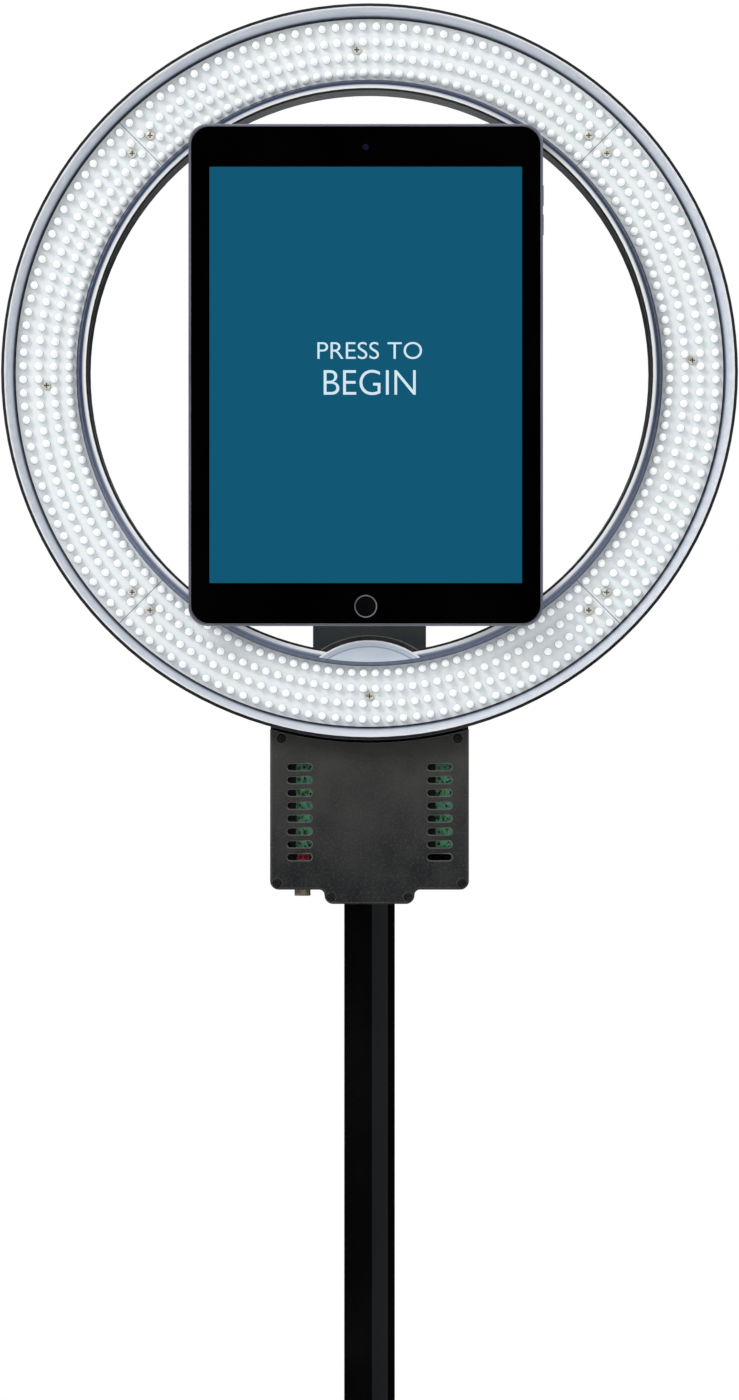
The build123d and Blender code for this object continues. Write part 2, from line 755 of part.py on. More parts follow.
def tablet_back_shell():
    shell = prism(tablet_outline(0), tablet_front_y, tablet_rear_y)
    shell = fillet(shell.faces().sort_by(Axis.Y)[-1].edges(), 2.6)
    shell = chamfer(shell.faces().sort_by(Axis.Y)[0].edges(), 0.35)
    shell -= prism(tablet_outline(glass_inset), tablet_front_y - 1, glass_rear_y)
    shell -= prism(tablet_outline(tablet_wall), tablet_front_y - 1, tablet_rear_y - 1.0)
    for x, z, along_x in side_button_points():
        shell -= side_button(x, z, along_x, 0.08, -tablet_wall - 1, 1.0)
    shell -= disc(tablet_x + 74.0, tablet_z + 109.0, 3.6, -81.0, -77.0)
    return shell


def tablet_front_glass():
    glass = prism(tablet_outline(glass_inset + 0.1), glass_front_y, glass_rear_y)
    glass -= disc(tablet_x, home_z, 5.45, -87, -84)
    return glass - disc(tablet_x, camera_z, 1.6, -87, -84)


def tablet_display():
    outline = Pos(tablet_x, tablet_z) * Rectangle(151.0, 201.0)
    return prism(outline, glass_rear_y, glass_rear_y + 2.0)


def tablet_battery():
    cells = []
    for x in (-31.5, 31.5):
        outline = Pos(tablet_x + x, tablet_z - 18) * rounded(60.0, 150.0, 2.0)
        cells.append(prism(outline, glass_rear_y + 2.1, tablet_rear_y - 1.1))
    return Compound(cells)


def tablet_logic_board():
    board = prism(Pos(tablet_x - 4, tablet_z + 80) * Rectangle(134, 30), -82.4, -81.4)
    for x, width in ((-40, 14), (-10, 18), (30, 12)):
        board += prism(Pos(tablet_x + x, tablet_z + 80) * Rectangle(width, width), -81.4, -80.2)
    return board


def tablet_cameras():
    front = disc(tablet_x, camera_z, 1.5, -85.85, -83.0) + disc(tablet_x, camera_z, 2.6, -84.6, -82.0)
    x = tablet_x + 74.0
    z = tablet_z + 109.0
    rear = disc(x, z, 3.5, -81.5, tablet_rear_y - 0.1) + disc(x, z, 4.4, -83.0, tablet_rear_y - 1.2)
    return Compound([front, rear])


def home_button():
    button = disc(tablet_x, home_z, 4.85, -85.75, -84.3)
    button = fillet(button.edges().sort_by(Axis.Y)[0], 0.25)
    return button + disc(tablet_x, home_z, 3.0, -84.3, -81.2)


def home_button_ring():
    outline = Pos(tablet_x, home_z) * (Circle(5.4) - Circle(4.95))
    return prism(outline, tablet_front_y, -84.6)


# ---- pole and base ----

def tube(outer_r, wall, z_low, z_high):
    return upright(0, 0, outer_r, z_low, z_high) - upright(0, 0, outer_r - wall, z_low - 1, z_high + 1)


def pole_bush():
    bush = upright(0, 0, lower_pole_r - lower_pole_wall - 0.05, lower_pole_top_z - 36, lower_pole_top_z)
    bush += upright(0, 0, lower_pole_r, lower_pole_top_z, lower_pole_top_z + 3)
    return bush - upright(0, 0, pole_r + 0.1, lower_pole_top_z - 40, lower_pole_top_z + 5)


def clamp_collar():
    collar = upright(0, 0, collar_r, collar_bottom_z, collar_top_z)
    ends = collar.edges().filter_by(GeomType.CIRCLE)
    collar = chamfer(ends, 2.0)
    collar += crossways(9.0, 15.0, 30.0, 0, height_knob_z)
    collar -= upright(0, 0, lower_pole_r + 0.05, collar_bottom_z - 1, lower_pole_top_z + 3)
    collar -= upright(0, 0, pole_r + 0.35, lower_pole_top_z, collar_top_z + 1)
    return collar - crossways(4.06, 10.0, 31.0, 0, height_knob_z)


def height_knob():
    knob = crossways(4.0, 13.0, 33.0, 0, height_knob_z)
    knob += crossways(9.0, 30.4, 38.0, 0, height_knob_z)
    return knob + lobed_knob(37.0, 52.0, height_knob_z, 18.0, 5)


def base_bolt_points():
    return [(x, y) for x in (-27.0, 27.0) for y in (-27.0, 27.0)]


def base_flange():
    flange = upright(0, 0, 52.0, base_top_z, base_top_z + 8)
    flange = fillet(flange.edges().sort_by(Axis.Z)[-1], 2.0)
    socket = upright(0, 0, 21.0, base_top_z, 76.0)
    socket = chamfer(socket.edges().sort_by(Axis.Z)[-1], 2.0)
    flange += socket
    flange -= upright(0, 0, lower_pole_r + 0.05, lower_pole_bottom_z, 80.0)
    for x, y in base_bolt_points():
        flange -= upright(x, y, 4.2, 0, 40)
    return flange


def base_plate():
    plate = upright(0, 0, base_r, foot_height, base_top_z)
    plate = fillet(plate.edges().sort_by(Axis.Z)[-1], 2.5)
    for x, y in base_bolt_points():
        plate -= upright(x, y, 4.2, 0, 20)
    return plate


def base_bolts():
    bolts = []
    top = base_top_z + 8
    for x, y in base_bolt_points():
        head = Plane.XY.offset(top) * (Pos(x, y) * RegularPolygon(6.5, 6, major_radius=False))
        bolts.append(extrude(head, amount=5.0) + upright(x, y, 4.0, foot_height + 0.5, top))
    return Compound(bolts)


def rubber_feet():
    feet = []
    for i in range(6):
        angle = math.radians(30 + 60 * i)
        x = 172 * math.cos(angle)
        y = 172 * math.sin(angle)
        foot = upright(x, y, 15.0, 0, foot_height)
        feet.append(chamfer(foot.edges().sort_by(Axis.Z)[0], 0.8))
    return Compound(feet)


def main():
    os.makedirs("parts", exist_ok=True)
    save(ring_rear_housing(), "ring_rear_housing")
    save(ring_reflector_tray(), "ring_reflector_tray")
    quarters = (("right", 0), ("top", 90), ("left", 180), ("bottom", 270))
    for name, middle in quarters:
        save(led_board(middle), f"led_board_{name}")
        save(led_array(middle), f"led_array_{name}")
    save(led_board_screws(), "led_board_screws")
    save(ring_housing_screws(), "ring_housing_screws")
    save(led_wire_loom(), "led_wire_loom")

    save(box_front_cover(), "box_front_cover")
    save(box_rear_shell(), "box_rear_shell")
    save(box_cover_screws(), "box_cover_screws")
    save(driver_board(), "driver_board")
    save(driver_board_screws(), "driver_board_screws")
    save(driver_capacitors(), "driver_capacitors")
    save(driver_inductor(), "driver_inductor")
    save(driver_heat_sink(), "driver_heat_sink")
    save(driver_chips(), "driver_chips")
    save(output_terminal(), "output_terminal")
    save(power_inlet(), "power_inlet")
    save(inlet_nut(), "inlet_nut")
    save(power_switch_body(), "power_switch_body")
    save(power_switch_rocker(), "power_switch_rocker")
    save(dimmer_potentiometer(), "dimmer_potentiometer")
    save(dimmer_knob(), "dimmer_knob")

    save(bracket_bar(), "bracket_bar")
    save(tilt_yoke(), "tilt_yoke")
    save(bracket_bolts(), "bracket_bolts")
    save(tilt_bolt(), "tilt_bolt")
    save(tilt_washers(), "tilt_washers")
    save(tilt_knob(), "tilt_knob")
    save(pole_head(), "pole_head")

    save(standoffs(), "tablet_standoffs")
    save(standoff_screws(), "standoff_screws")
    save(tablet_plate(), "tablet_plate")
    save(foam_pads(), "foam_pads")
    save(tablet_back_shell(), "tablet_back_shell")
    save(tablet_front_glass(), "tablet_front_glass")
    save(tablet_display(), "tablet_display")
    save(tablet_battery(), "tablet_battery")
    save(tablet_logic_board(), "tablet_logic_board")
    save(tablet_cameras(), "tablet_cameras")
    save(home_button(), "home_button")
    save(home_button_ring(), "home_button_ring")
    names = ("sleep_button", "volume_up_button", "volume_down_button")
    for name, (x, z, along_x) in zip(names, side_button_points()):
        save(side_button(x, z, along_x, 0.0, -tablet_wall - 0.2, side_button_proud), name)

    save(tube(pole_r, pole_wall, pole_bottom_z, pole_top_z), "upper_pole")
    save(tube(lower_pole_r, lower_pole_wall, lower_pole_bottom_z, lower_pole_top_z), "lower_pole")
    save(pole_bush(), "pole_bush")
    save(clamp_collar(), "clamp_collar")
    save(height_knob(), "height_knob")
    save(base_flange(), "base_flange")
    save(base_plate(), "base_plate")
    save(base_bolts(), "base_bolts")
    save(rubber_feet(), "rubber_feet")


main()
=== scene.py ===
import math
import random

import bmesh
import bpy
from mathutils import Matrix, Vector


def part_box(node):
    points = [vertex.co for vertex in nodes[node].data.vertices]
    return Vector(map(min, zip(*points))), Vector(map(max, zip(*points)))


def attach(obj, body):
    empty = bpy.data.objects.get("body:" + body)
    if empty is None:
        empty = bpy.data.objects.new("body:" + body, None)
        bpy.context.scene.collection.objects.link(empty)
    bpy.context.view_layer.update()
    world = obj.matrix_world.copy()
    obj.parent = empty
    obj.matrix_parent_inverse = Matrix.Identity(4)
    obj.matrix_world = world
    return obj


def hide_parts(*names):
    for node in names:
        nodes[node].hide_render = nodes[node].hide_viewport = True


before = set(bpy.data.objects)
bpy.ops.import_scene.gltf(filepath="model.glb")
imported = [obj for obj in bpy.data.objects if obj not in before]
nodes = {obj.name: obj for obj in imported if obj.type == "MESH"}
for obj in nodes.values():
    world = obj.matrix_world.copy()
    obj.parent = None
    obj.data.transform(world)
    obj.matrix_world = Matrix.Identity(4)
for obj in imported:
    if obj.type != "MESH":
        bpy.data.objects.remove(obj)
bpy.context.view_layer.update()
mm = 0.001
print("frame loaded:", len(nodes), "nodes")


# Camera: level with the foot of the ring light, square on to the tablet.

viewing = {"distance": 2.6, "belowRing": 0.1577, "heightSeen": 0.6692, "sensor": 36.0}


def ringCentre():
    low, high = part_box("ring_reflector_tray")
    return Vector((0, low.y, (low.z + high.z) / 2))


def setCamera(view):
    camera = bpy.data.cameras.new("camera")
    camera.sensor_fit = "VERTICAL"
    camera.sensor_height = view["sensor"]
    camera.lens = view["sensor"] * view["distance"] / view["heightSeen"]
    camera.clip_end = 50
    holder = bpy.data.objects.new("camera", camera)
    bpy.context.scene.collection.objects.link(holder)
    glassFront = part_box("tablet_front_glass")[0].y
    holder.location = (0, glassFront - view["distance"], ringCentre().z - view["belowRing"])
    holder.rotation_euler = (math.pi / 2, 0, 0)
    bpy.context.scene.camera = holder


setCamera(viewing)
bpy.context.scene.view_settings.view_transform = "Standard"
print("camera set")


# Node helpers shared by every finish.

def newFinish(name):
    finish = bpy.data.materials.new(name)
    finish.use_nodes = True
    tree = finish.node_tree
    tree.nodes.clear()
    end = tree.nodes.new("ShaderNodeOutputMaterial")
    shader = tree.nodes.new("ShaderNodeBsdfPrincipled")
    tree.links.new(shader.outputs["BSDF"], end.inputs["Surface"])
    place = tree.nodes.new("ShaderNodeTexCoord").outputs["Object"]
    return finish, tree, shader, place


def feed(tree, value, socket):
    # A socket takes either another node's output or a plain value.
    if isinstance(value, bpy.types.NodeSocket):
        tree.links.new(value, socket)
    else:
        socket.default_value = value


def paint(tree, shader, tone, rough):
    feed(tree, tone, shader.inputs["Base Color"])
    feed(tree, rough, shader.inputs["Roughness"])


def work(tree, operation, first, second=0.0):
    node = tree.nodes.new("ShaderNodeMath")
    node.operation = operation
    feed(tree, first, node.inputs[0])
    feed(tree, second, node.inputs[1])
    return node.outputs[0]


def gap(tree, value, target):
    return work(tree, "ABSOLUTE", work(tree, "SUBTRACT", value, target))


def axes(tree, place):
    parts = tree.nodes.new("ShaderNodeSeparateXYZ")
    tree.links.new(place, parts.inputs[0])
    return parts.outputs


def moved(tree, place, stretch=(1, 1, 1), shift=(0, 0, 0)):
    node = tree.nodes.new("ShaderNodeVectorMath")
    node.operation = "MULTIPLY_ADD"
    tree.links.new(place, node.inputs[0])
    node.inputs[1].default_value = stretch
    node.inputs[2].default_value = shift
    return node.outputs[0]


def cloud(tree, place, size, detail=3.0, stretch=(1, 1, 1)):
    # Soft noise whose patches are about size metres across, along each axis over its stretch.
    node = tree.nodes.new("ShaderNodeTexNoise")
    node.inputs["Scale"].default_value = 1 / size
    node.inputs["Detail"].default_value = detail
    tree.links.new(moved(tree, place, stretch), node.inputs["Vector"])
    return node.outputs["Fac"]


def cells(tree, place, size, feature="F1", stretch=(1, 1, 1)):
    node = tree.nodes.new("ShaderNodeTexVoronoi")
    node.feature = feature
    node.inputs["Scale"].default_value = 1 / size
    tree.links.new(moved(tree, place, stretch), node.inputs["Vector"])
    return node.outputs["Distance"]


def spread(tree, value, low, high, inLow=0.34, inHigh=0.66):
    node = tree.nodes.new("ShaderNodeMapRange")
    tree.links.new(value, node.inputs["Value"])
    node.inputs["From Min"].default_value = inLow
    node.inputs["From Max"].default_value = inHigh
    node.inputs["To Min"].default_value = low
    node.inputs["To Max"].default_value = high
    return node.outputs["Result"]


def between(tree, factor, first, second):
    node = tree.nodes.new("ShaderNodeMix")
    node.data_type = "RGBA"
    feed(tree, factor, node.inputs["Factor"])
    colourSockets = [s for s in node.inputs if s.type == "RGBA"]
    for colour, socket in zip((first, second), colourSockets):
        feed(tree, colour if isinstance(colour, bpy.types.NodeSocket) else (*colour, 1), socket)
    return [s for s in node.outputs if s.type == "RGBA"][0]


def steps(tree, value, stops):
    # A colour ramp through (position, colour) stops.
    node = tree.nodes.new("ShaderNodeValToRGB")
    tree.links.new(value, node.inputs["Fac"])
    marks = node.color_ramp.elements
    marks.remove(marks[1])
    marks[0].position, marks[0].color = stops[0][0], (*stops[0][1], 1)
    for position, colour in stops[1:]:
        marks.new(position).color = (*colour, 1)
    return node.outputs["Color"]


def edgeMask(tree, radius, reach=0.12):
    # One where a rounded version of the surface would lean away from the real one: along edges.
    soft = tree.nodes.new("ShaderNodeBevel")
    soft.samples = 4
    soft.inputs["Radius"].default_value = radius
    real = tree.nodes.new("ShaderNodeNewGeometry")
    dot = tree.nodes.new("ShaderNodeVectorMath")
    dot.operation = "DOT_PRODUCT"
    tree.links.new(soft.outputs["Normal"], dot.inputs[0])
    tree.links.new(real.outputs["Normal"], dot.inputs[1])
    return spread(tree, dot.outputs["Value"], 1, 0, 1 - reach, 0.995)


def relief(tree, shader, height, depth):
    node = tree.nodes.new("ShaderNodeBump")
    node.inputs["Strength"].default_value = 1.0
    node.inputs["Distance"].default_value = depth
    tree.links.new(height, node.inputs["Height"])
    tree.links.new(node.outputs["Normal"], shader.inputs["Normal"])


def ringPlace(tree, place, centre):
    # Radius about an axis that runs front to back through centre, and the distances across and up from it.
    x, y, z = axes(tree, moved(tree, place, shift=(-centre[0], 0, -centre[1])))
    squares = work(tree, "ADD", work(tree, "MULTIPLY", x, x), work(tree, "MULTIPLY", z, z))
    return work(tree, "SQRT", squares), x, z


plainLook = {
    "blotch": 0.03, "stretch": (1, 1, 1), "rough": (0.4, 0.5), "grain": 0.0006, "depth": 0.00002,
    "metallic": 0.0, "specular": 0.5, "coat": 0.0, "coatRough": 0.1, "sheen": 0.0,
    "wearAndHighlight": None, "edgeRadius": 0.0005, "edgeReach": 0.12, "edgeAmount": 0.6,
}


def layFinish(name, **changes):
    # Two tones in soft blotches, uneven roughness, a fine grain, and paler edges where asked: wear on some
    # finishes, painted highlight on others.
    look = {**plainLook, **changes}
    finish, tree, shader, place = newFinish(name)
    patches = spread(tree, cloud(tree, place, look["blotch"], 4, look["stretch"]), 0, 1)
    tone = between(tree, patches, look["tone"], look["shade"])
    if look["wearAndHighlight"]:
        rubbedAndHighlit = work(tree, "MULTIPLY", edgeMask(tree, look["edgeRadius"], look["edgeReach"]),
                      spread(tree, cloud(tree, place, look["blotch"] / 3, 4), 0.3, 1))
        tone = between(tree, work(tree, "MULTIPLY", rubbedAndHighlit, look["edgeAmount"]), tone, look["wearAndHighlight"])
    fine = cloud(tree, place, look["grain"], 2, look["stretch"])
    coarse = cloud(tree, place, look["blotch"] / 2, 3)
    mixed = work(tree, "MULTIPLY_ADD", fine, 0.5)  # the fine grain counts half as much as the coarse
    mixed.node.inputs[2].default_value = 0.25
    uneven = work(tree, "MULTIPLY", work(tree, "ADD", mixed, coarse), 0.5)
    paint(tree, shader, tone, spread(tree, uneven, *look["rough"], 0.4, 0.6))
    relief(tree, shader, fine, look["depth"])
    shader.inputs["Metallic"].default_value = look["metallic"]
    shader.inputs["Specular IOR Level"].default_value = look["specular"]
    shader.inputs["Coat Weight"].default_value = look["coat"]
    shader.inputs["Coat Roughness"].default_value = look["coatRough"]
    shader.inputs["Sheen Weight"].default_value = look["sheen"]
    return finish


# Plain finishes, one row for each: tone and shade are the two colours that its blotches run between.

finishRows = {
    "screw_nickel": dict(tone=(0.80, 0.76, 0.66), shade=(0.62, 0.57, 0.46), metallic=0.55,
        rough=(0.3, 0.45), blotch=0.002, grain=0.0002, depth=0.000005),
    # Black screws: the paler edges are painted highlight.
    "screw_black": dict(tone=(0.003, 0.003, 0.003), shade=(0.008, 0.008, 0.008), specular=0.3,
        rough=(0.25, 0.4), blotch=0.003, grain=0.0002, depth=0.000006, wearAndHighlight=(0.30, 0.30, 0.30),
        edgeRadius=0.0002, edgeAmount=0.5),
    "capacitor_sleeve": dict(tone=(0.012, 0.020, 0.050), shade=(0.018, 0.028, 0.065), rough=(0.25, 0.4),
        blotch=0.006),
    "ferrite": dict(tone=(0.030, 0.030, 0.032), shade=(0.055, 0.053, 0.052), rough=(0.6, 0.8),
        blotch=0.004, grain=0.0003, depth=0.00003),
    "heat_sink": dict(tone=(0.50, 0.51, 0.53), shade=(0.40, 0.41, 0.43), metallic=1.0, rough=(0.3, 0.45),
        blotch=0.01, stretch=(1, 8, 8), depth=0.000006),
    "chip_black": dict(tone=(0.010, 0.010, 0.011), shade=(0.018, 0.018, 0.019), rough=(0.5, 0.65),
        blotch=0.004, grain=0.00025, depth=0.00001),
    "terminal_red": dict(tone=(0.50, 0.010, 0.013), shade=(0.30, 0.010, 0.012), rough=(0.3, 0.42),
        blotch=0.006),
    "inlet_nickel": dict(tone=(0.66, 0.56, 0.46), shade=(0.30, 0.25, 0.20), metallic=0.6,
        rough=(0.22, 0.38), blotch=0.003, grain=0.0003, stretch=(1, 1, 4), depth=0.00001),
    "knob_black": dict(tone=(0.012, 0.012, 0.013), shade=(0.020, 0.020, 0.021), rough=(0.4, 0.55),
        blotch=0.012, grain=0.0004, depth=0.00003, wearAndHighlight=(0.06, 0.06, 0.06)),
    "zinc_steel": dict(tone=(0.60, 0.61, 0.62), shade=(0.42, 0.43, 0.46), metallic=1.0,
        rough=(0.25, 0.42), blotch=0.004, grain=0.0003, depth=0.000008),
    "nylon_white": dict(tone=(0.72, 0.71, 0.66), shade=(0.62, 0.61, 0.56), rough=(0.4, 0.55),
        blotch=0.01),
    "cast_black": dict(tone=(0.012, 0.012, 0.013), shade=(0.021, 0.021, 0.022), rough=(0.45, 0.6),
        blotch=0.02, grain=0.0009, depth=0.00008, wearAndHighlight=(0.10, 0.10, 0.10), edgeRadius=0.0007),
    "standoff_aluminium": dict(tone=(0.60, 0.61, 0.63), shade=(0.50, 0.51, 0.53), metallic=1.0,
        rough=(0.28, 0.4), blotch=0.01, stretch=(1, 6, 1), grain=0.0004, depth=0.000006),
    "battery_wrap": dict(tone=(0.020, 0.020, 0.022), shade=(0.035, 0.035, 0.037), rough=(0.3, 0.4),
        blotch=0.02),
    "foot_rubber": dict(tone=(0.012, 0.012, 0.012), shade=(0.020, 0.020, 0.020), rough=(0.75, 0.9),
        blotch=0.01, grain=0.0006, depth=0.00005, sheen=0.15),
    "camera_glass": dict(tone=(0.004, 0.006, 0.020), shade=(0.010, 0.014, 0.045), rough=(0.04, 0.08),
        blotch=0.0012, grain=0.002, depth=0.000001, coat=1.0, coatRough=0.02),
    "button_black": dict(tone=(0.002, 0.002, 0.0025), shade=(0.003, 0.003, 0.004), rough=(0.12, 0.2),
        blotch=0.006, depth=0.000002, specular=0.35),
    "button_ring": dict(tone=(0.52, 0.52, 0.56), shade=(0.16, 0.16, 0.18), metallic=0.5,
        rough=(0.2, 0.3), blotch=0.006, grain=0.0003, depth=0.000003),
    # Bracket: its tone is far paler than charcoal paint, painted light that lifts it out of the shade behind
    # the tablet and ring.
    "bracket_charcoal": dict(tone=(0.235, 0.268, 0.270), shade=(0.270, 0.302, 0.304), rough=(0.5, 0.6),
        blotch=0.03, specular=0.35, grain=0.0005, depth=0.00003, wearAndHighlight=(0.12, 0.12, 0.12)),
    "base_black": dict(tone=(0.010, 0.010, 0.011), shade=(0.016, 0.016, 0.017), rough=(0.42, 0.55),
        blotch=0.06, grain=0.0011, depth=0.00010, wearAndHighlight=(0.09, 0.09, 0.09), edgeRadius=0.0008),
    "tablet_aluminium": dict(tone=(0.36, 0.36, 0.40), shade=(0.31, 0.31, 0.35), metallic=1.0,
        rough=(0.3, 0.38), blotch=0.05, grain=0.00022, depth=0.000008, wearAndHighlight=(0.75, 0.75, 0.78),
        edgeRadius=0.0003, edgeAmount=0.5),
}
finishes = {slot: layFinish(slot, **row) for slot, row in finishRows.items()}
print("plain finishes laid:", len(finishes))


# Silver reflector tray: pale slopes, an inner wall with a painted reflection at its top and painted light at
# its bottom, a painted shadow line where the slopes meet the boards, a brushed crescent.

trayLook = {
    "lip": (0.97, 0.99, 1.0), "slope": (0.86, 0.90, 0.97), "slopePaintedShadeAndStreaks": (0.50, 0.55, 0.68),
    "jointPaintedShadow": (0.012, 0.018, 0.036), "wallPaintedReflection": (0.024, 0.040, 0.095), "lowBevelPaintedLight": (0.32, 0.36, 0.48),
    "lowCreasePaintedShade": (0.10, 0.125, 0.21), "lowWallPaintedLight": (0.16, 0.19, 0.29),
    "crescent": (0.68, 0.77, 0.86), "groove": (0.26, 0.32, 0.42), "crescentBevel": (0.60, 0.67, 0.78),
    # Colours at radii about the ring's centre. The inner wall has a row for its top and one for its bottom:
    # its top is painted dark as a painted reflection, its bottom paler as painted light with painted shade in
    # its crease.
    # The outer row: a painted shadow line where the slope meets the boards, painted shade fading up the
    # slope, then the pale slope and lip.
    "outer": ((0.1706, "jointPaintedShadow"), (0.1715, "jointPaintedShadow"), (0.1719, "slopePaintedShadeAndStreaks"), (0.1731, "slope"),
              (0.1742, "slope"), (0.1746, "lip")),
    "upper": ((0.1375, "lip"), (0.1378, "wallPaintedReflection"), (0.1415, "wallPaintedReflection")),
    "lower": ((0.1375, "lip"), (0.1379, "lowBevelPaintedLight"), (0.1392, "lowCreasePaintedShade"), (0.1400, "lowCreasePaintedShade"),
              (0.1406, "lowWallPaintedLight"), (0.1415, "lowWallPaintedLight")),
    "outerReach": 0.1770, "slopeFrom": 0.1720, "paintedLightFrom": -0.015, "paintedLightTo": -0.075,
    # Colours at distances in from the crescent's rim.
    "rim": ((0.0036, "crescent"), (0.0031, "groove"), (0.0026, "crescentBevel"),
            (0.0010, "crescentBevel"), (0.0007, "lip")),
    "crescentDrop": 0.1690, "crescentReach": 0.0400, "crescentSlack": 0.0001, "crescentInside": 0.1394,
    "streak": 0.004, "streakAmount": 0.3, "rough": (0.28, 0.42), "grain": 0.0012, "depth": 0.00001,
    "metallic": 0.08, "specular": 0.25,
}


def silverTray(look):
    finish, tree, shader, place = newFinish("tray_silver")
    centre = ringCentre()
    radius, x, z = ringPlace(tree, place, (0, centre.z))
    reach = look["outerReach"]
    share = work(tree, "MULTIPLY", radius, 1 / reach)
    bands = [steps(tree, share, [(r / reach, look[colour]) for r, colour in inner + look["outer"]])
             for inner in (look["upper"], look["lower"])]
    # Painted light: the inner wall goes from the dark top row to the paler bottom row by height.
    tone = between(tree, spread(tree, z, 0, 1, look["paintedLightFrom"], look["paintedLightTo"]), *bands)
    away = ringPlace(tree, place, (0, centre.z - look["crescentDrop"]))[0]
    across = look["crescentReach"]
    rim = [(1 - inset / across, look[colour]) for inset, colour in look["rim"]]
    face = steps(tree, work(tree, "MULTIPLY", away, 1 / across), [(0.0, look["crescent"])] + rim)
    inCrescent = work(tree, "MULTIPLY", work(tree, "LESS_THAN", away, across + look["crescentSlack"]),
                      work(tree, "LESS_THAN", radius, look["crescentInside"]))
    tone = between(tree, inCrescent, tone, face)
    brushed = work(tree, "MAXIMUM", work(tree, "GREATER_THAN", radius, look["slopeFrom"]), inCrescent)
    streaks = spread(tree, cloud(tree, place, look["streak"], 4, (0.25, 1, 1)), 0, look["streakAmount"])
    # Brushed streaks on the slopes and crescent, tinted towards the slope's painted-shade colour.
    tone = between(tree, work(tree, "MULTIPLY", streaks, brushed), tone, look["slopePaintedShadeAndStreaks"])
    paint(tree, shader, tone, spread(tree, cloud(tree, place, 0.002, 3), *look["rough"]))
    relief(tree, shader, cloud(tree, place, look["grain"], 3, (0.3, 1, 1)), look["depth"])
    shader.inputs["Metallic"].default_value = look["metallic"]
    shader.inputs["Specular IOR Level"].default_value = look["specular"]
    return finish


finishes["tray_silver"] = silverTray(trayLook)


# Ring housing: black paint, a paler inner wall, a thin painted highlight line round the crescent's rim, and
# edges lightened as painted highlight.

housingLook = {
    "tone": (0.007, 0.008, 0.010), "shade": (0.013, 0.014, 0.017), "blotch": 0.03,
    "wall": (0.030, 0.030, 0.029), "wallReach": 0.13535,
    "line": (0.20, 0.20, 0.20), "rimHighlightAt": 0.0422, "rimHighlightWidth": 0.0003, "rimHighlightInside": 0.1362,
    "wearAndHighlight": (0.16, 0.16, 0.17), "edgeRadius": 0.0004, "edgeAmount": 0.5,
    "rough": (0.3, 0.45), "grain": 0.0007, "depth": 0.00002, "specular": 0.4,
}


def ringHousing(look):
    finish, tree, shader, place = newFinish("housing_black")
    centre = ringCentre()
    radius = ringPlace(tree, place, (0, centre.z))[0]
    patches = spread(tree, cloud(tree, place, look["blotch"], 4), 0, 1)
    tone = between(tree, patches, look["tone"], look["shade"])
    inner = work(tree, "MULTIPLY", work(tree, "LESS_THAN", radius, look["wallReach"]),
                 spread(tree, cloud(tree, place, 0.002, 3), 0.2, 1))
    tone = between(tree, inner, tone, look["wall"])
    away = ringPlace(tree, place, (0, centre.z - trayLook["crescentDrop"]))[0]
    # Painted highlight: a thin grey line round the crescent's rim.
    line = spread(tree, gap(tree, away, look["rimHighlightAt"]), 0.8, 0, look["rimHighlightWidth"] * 0.4, look["rimHighlightWidth"])
    rubbedAndHighlit = work(tree, "MULTIPLY", line, work(tree, "LESS_THAN", radius, look["rimHighlightInside"]))
    tone = between(tree, rubbedAndHighlit, tone, look["line"])
    # Painted highlight: the edges lightened to grey.
    wornAndHighlit = work(tree, "MULTIPLY", edgeMask(tree, look["edgeRadius"]), look["edgeAmount"])
    tone = between(tree, wornAndHighlit, tone, look["wearAndHighlight"])
    paint(tree, shader, tone, spread(tree, cloud(tree, place, 0.004, 3), *look["rough"]))
    relief(tree, shader, cloud(tree, place, look["grain"], 2), look["depth"])
    shader.inputs["Specular IOR Level"].default_value = look["specular"]
    return finish


finishes["housing_black"] = ringHousing(housingLook)


# Wire loom: red leads, in a black sleeve from the ring's back to the box.

loomLook = {
    "lead": (0.33, 0.010, 0.012), "sleeve": (0.008, 0.008, 0.009), "sleeveFrom": -0.0465,
    "dust": (0.02, 0.02, 0.02), "dustAmount": 0.35, "rough": (0.35, 0.5),
}


def sleevedLoom(look):
    finish, tree, shader, place = newFinish("wire_red")
    x, y, z = axes(tree, place)
    sleeved = work(tree, "GREATER_THAN", y, look["sleeveFrom"])
    tone = between(tree, sleeved, look["lead"], look["sleeve"])
    dusty = spread(tree, cloud(tree, place, 0.01, 3), 0, look["dustAmount"])
    tone = between(tree, dusty, tone, look["dust"])
    paint(tree, shader, tone, spread(tree, cloud(tree, place, 0.003, 2), *look["rough"]))
    return finish


finishes["wire_red"] = sleevedLoom(loomLook)


# Board screws: pale nickel heads, each with its sunk cross painted dark grey-brown as painted shade.

nickelLook = {
    "head": (0.90, 0.88, 0.80), "recess": (0.16, 0.14, 0.10), "rim": (0.30, 0.28, 0.22), "sunk": 0.0004,
    "blotch": 0.0012, "rough": (0.3, 0.45), "grain": 0.0003, "depth": 0.000006, "metallic": 0.3,
}


